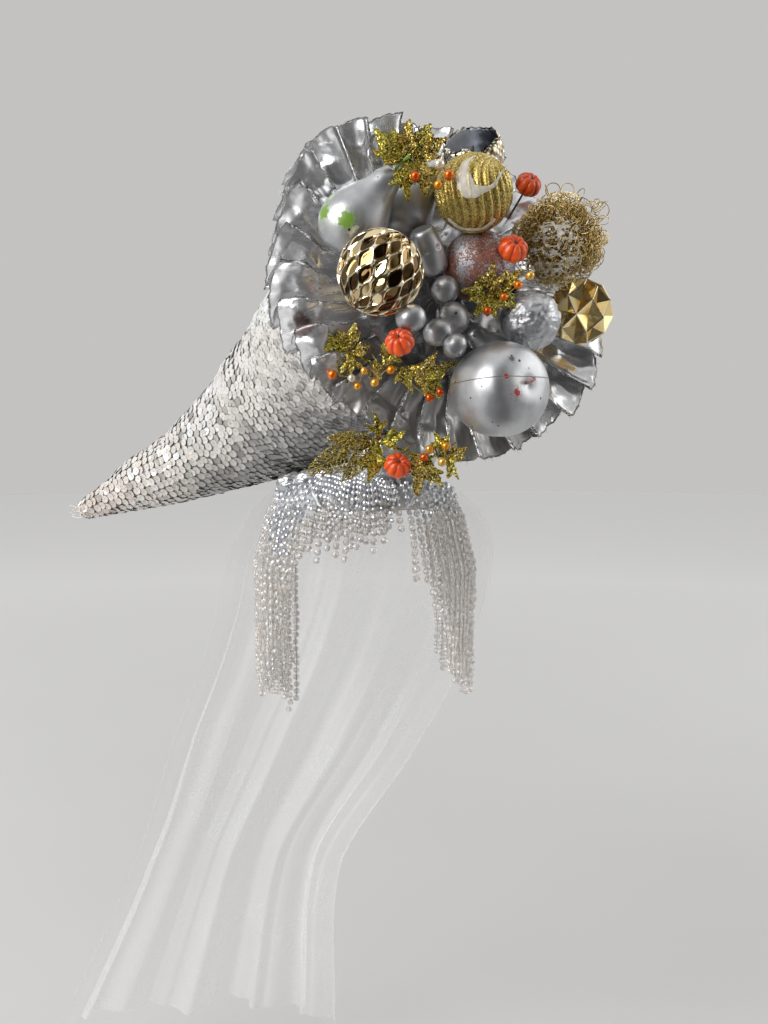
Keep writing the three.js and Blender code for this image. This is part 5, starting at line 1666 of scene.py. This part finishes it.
def skeleton_leaf(length, width, rng):
    """Lines of a leaf of bare veins: midrib, edge, side veins and a net between them."""
    t = np.linspace(0, 1, 24)
    half = width / 2 * np.sin(math.pi * t**0.8) ** 0.8
    bow = -length * 0.1 * np.sin(t * math.pi)

    def point(at, share):
        wide = np.interp(at, t, half) * share
        return np.array([at * length, np.interp(at, t, bow) + 0.15 * abs(wide), wide])

    lines = [[point(at, share) for at in np.linspace(0, 1, 16)] for share in (0, -1, 1)]
    for start in np.linspace(0.04, 0.8, 13):
        for side in (-1, 1):
            lines.append([point(start + 0.16 * reach, side * reach) for reach in (0, 0.35, 0.7, 1)])
    for _ in range(LEAF["net"]):
        at, share = rng.uniform(0.05, 0.85), rng.uniform(-0.9, 0.9)
        end = at + rng.uniform(0.02, 0.06)
        end_share = np.clip(share + rng.choice([-1, 1]) * rng.uniform(0.15, 0.4), -1, 1)
        middle = point((at + end) / 2, (share + end_share) / 2)
        lines.append([point(at, share), middle, point(end, end_share)])
    return [np.array(line) for line in lines]


def leaf_parts(leaf, bare, rng):
    """Bars of a leaf of bare veins, or the three blades of a full one, each with its tint."""
    x, z, degrees, length, width = leaf
    tint = rng.beta(0.7, 0.7)
    if bare:
        lines = skeleton_leaf(length, width, rng)
        return [(*tube(turned_leaf(line, x, z, degrees), 0.5, 4), 0.25) for line in lines]
    blades = [(leaf_surface(length, width * 0.85, rng), x, z, degrees, 0)]
    for side in (-1, 1):
        joint = blades[0][0][int(rng.uniform(5, 12)), LEAF["columns"] // 2]
        foot = turned_leaf(joint, x, z, degrees)
        small = leaf_surface(length * 0.5, width * 0.55, rng)
        blades.append((small, foot[0], foot[2], degrees + side * rng.uniform(30, 65), foot[1]))
    return [(*thick(turned_leaf(surface, *place), LEAF["cloth"]), tint) for surface, *place in blades]


def sprays():
    look = glitter_look("leaf_glitter", 1.0, 1.1, BROWN_LEAF_STOPS, GREEN_LEAF_STOPS)
    for seed, (node, spray) in enumerate(SPRAYS.items()):
        rng = draws("leaves", seed)
        parts = []
        for index, leaf in enumerate(spray["leaves"]):
            parts += leaf_parts(leaf, index in SKELETONS.get(node, ()), rng)
        line = smooth_line([(x, 0, z) for x, z in spray["stem"]], 40)
        parts.append((*tube(line + 0.4 * rng.normal(size=line.shape), STEM_RADIUS, 6), 1.0))
        for start in line[::5]:
            twig = start + TWIG + rng.normal(0, 2.2, (3, 3)) * [[0], [1], [2]]
            parts.append((*tube(twig, TWIG_RADII, 5), 0.6))
        depths = np.concatenate([points[:, 1] for points, _, _ in parts])
        low, high = node_box(node)
        x, z = spray["middle"]
        shift = np.array([x, (low[1] + high[1]) / 2 - (depths.min() + depths.max()) / 2, z])
        shape = Shape()
        for points, faces, tint in parts:
            shape.add(points + shift, faces, tint=tint)
        piece(node + "_leaves", shape, [look], [node])


def berries():
    looks = [berry_look(), stalk_look("berry_wire", (0.14, 0.10, 0.02), (0.42, 0.33, 0.08))]
    for seed, (node, sprig) in enumerate(SPRIGS.items()):
        rng = draws("berries", seed)
        depth = node_ball(node)[0][1]
        x, z = sprig["middle"]
        spots = np.array([(x + row[0], depth, z + row[1]) for row in sprig["berries"]])
        shape = Shape().add(*tube(smooth_line(spots, 12 * len(spots)), SPRIG_WIRE, 5), mark=1)
        for spot, (_, _, radius, tint) in zip(spots, sprig["berries"]):
            points, faces = ball(radius, *MESH["berry"])
            hub = np.clip(-points[:, 2] / radius, 0, 1)
            points = points * [1, 1, BERRY_LENGTH] @ turn(rng.uniform(-60, 60), rng.uniform(20, 80)).T
            shape.add(points + spot, faces, tint=tint, hub=hub)
        piece(node + "_beads", shape, looks, [node])


# Stage, light and camera

# Round floor in metres: height, first and last ring, count of rings, points around
FLOOR = {"level": -0.66, "first": 0.4, "last": 9, "rings": 12, "around": 96}
CAMERA = {"place": (0.019, -1.18, 0.1), "drop": 5.33, "focal_px": 1200, "frame_px": 1024, "sensor": 36}

# What the camera itself sees past the floor
BACKDROP = (0.545, 0.54, 0.53)

# Soft lights: name, place, where it points, size, power
LIGHTS = [
    ("key", (-2.4, -1.8, 1.5), (0, 0, 0.15), 3.0, 125),
    ("fill", (2.7, 0.75, 1.35), (0.05, 0, 0.15), 2.1, 18),
    ("side", (2.9, -0.4, 0.9), (0.05, 0, 0), 1.6, 8),
]


def stage():
    radii = np.linspace(FLOOR["first"], FLOOR["last"], FLOOR["rings"])[:, None]
    rings = polar(radii, steps(FLOOR["around"]), FLOOR["level"])
    points, faces = skin(rings, [0, 0, FLOOR["level"]])
    mesh = bpy.data.meshes.new("floor")
    mesh.from_pydata(points.tolist(), [], [face for group in faces for face in group.tolist()])
    mesh.materials.append(floor_look().material)
    link("floor", mesh)


def lights():
    for name, place, target, size, power in LIGHTS:
        data = bpy.data.lights.new(name, "AREA")
        data.shape, data.size, data.energy = "DISK", size, power
        made = link(name, data)
        made.location = place
        made.rotation_euler = (Vector(target) - Vector(place)).to_track_quat("-Z", "Y").to_euler()


def world():
    """Pale room, dark on the side that the front faces, so that metal has something to reflect."""
    made = bpy.data.worlds.new("room")
    made.use_nodes = True
    bpy.context.scene.world = made
    graph = Graph(made.node_tree)
    way = graph.node("TexCoord", {}, "Generated")
    above = graph.ramp(graph.axis(way, "Z"), (0.6, 0.0), (0.92, 1.0))
    room = graph.mix(1.0, graph.room(way), above, blend_type="LIGHTEN")
    seen = graph.node("LightPath", {}, "Is Camera Ray")
    graph.feed(graph.nodes["Background"].inputs["Color"], graph.mix(seen, room, BACKDROP))


def camera():
    data = bpy.data.cameras.new("camera")
    data.sensor_width = CAMERA["sensor"]
    data.lens = CAMERA["focal_px"] / CAMERA["frame_px"] * CAMERA["sensor"]
    made = link("camera", data)
    made.location = CAMERA["place"]
    made.rotation_euler = (math.radians(90 - CAMERA["drop"]), 0, 0)
    bpy.context.scene.camera = made
    bpy.context.scene.view_settings.view_transform = "Standard"


camera()
stage()
lights()
world()

plain_lame = lame_look("plain_lame", (0.52, 0.525, 0.535), (0.76, 0.76, 0.765))
horn()
sequins()
ruffle(lame_look("silver_lame", (0.62, 0.625, 0.635), (0.86, 0.86, 0.865), pleated=True))
bed(lame_look("shadow_lame", (0.12, 0.12, 0.13), (0.36, 0.36, 0.37)))
pad(plain_lame)
cap(plain_lame)
bead_looks = [bead_look(), silver_bead_look(), thread_look()]
for seed, name in enumerate(FRINGES):
    fringe(name, seed, bead_looks)
veil()
fruit()
stalks()
mirror_bauble()
star_bauble()
glitter_bauble()
glue()
broken_bauble()
plain_baubles()
wire_ball()
pumpkins()
sprays()
berries()
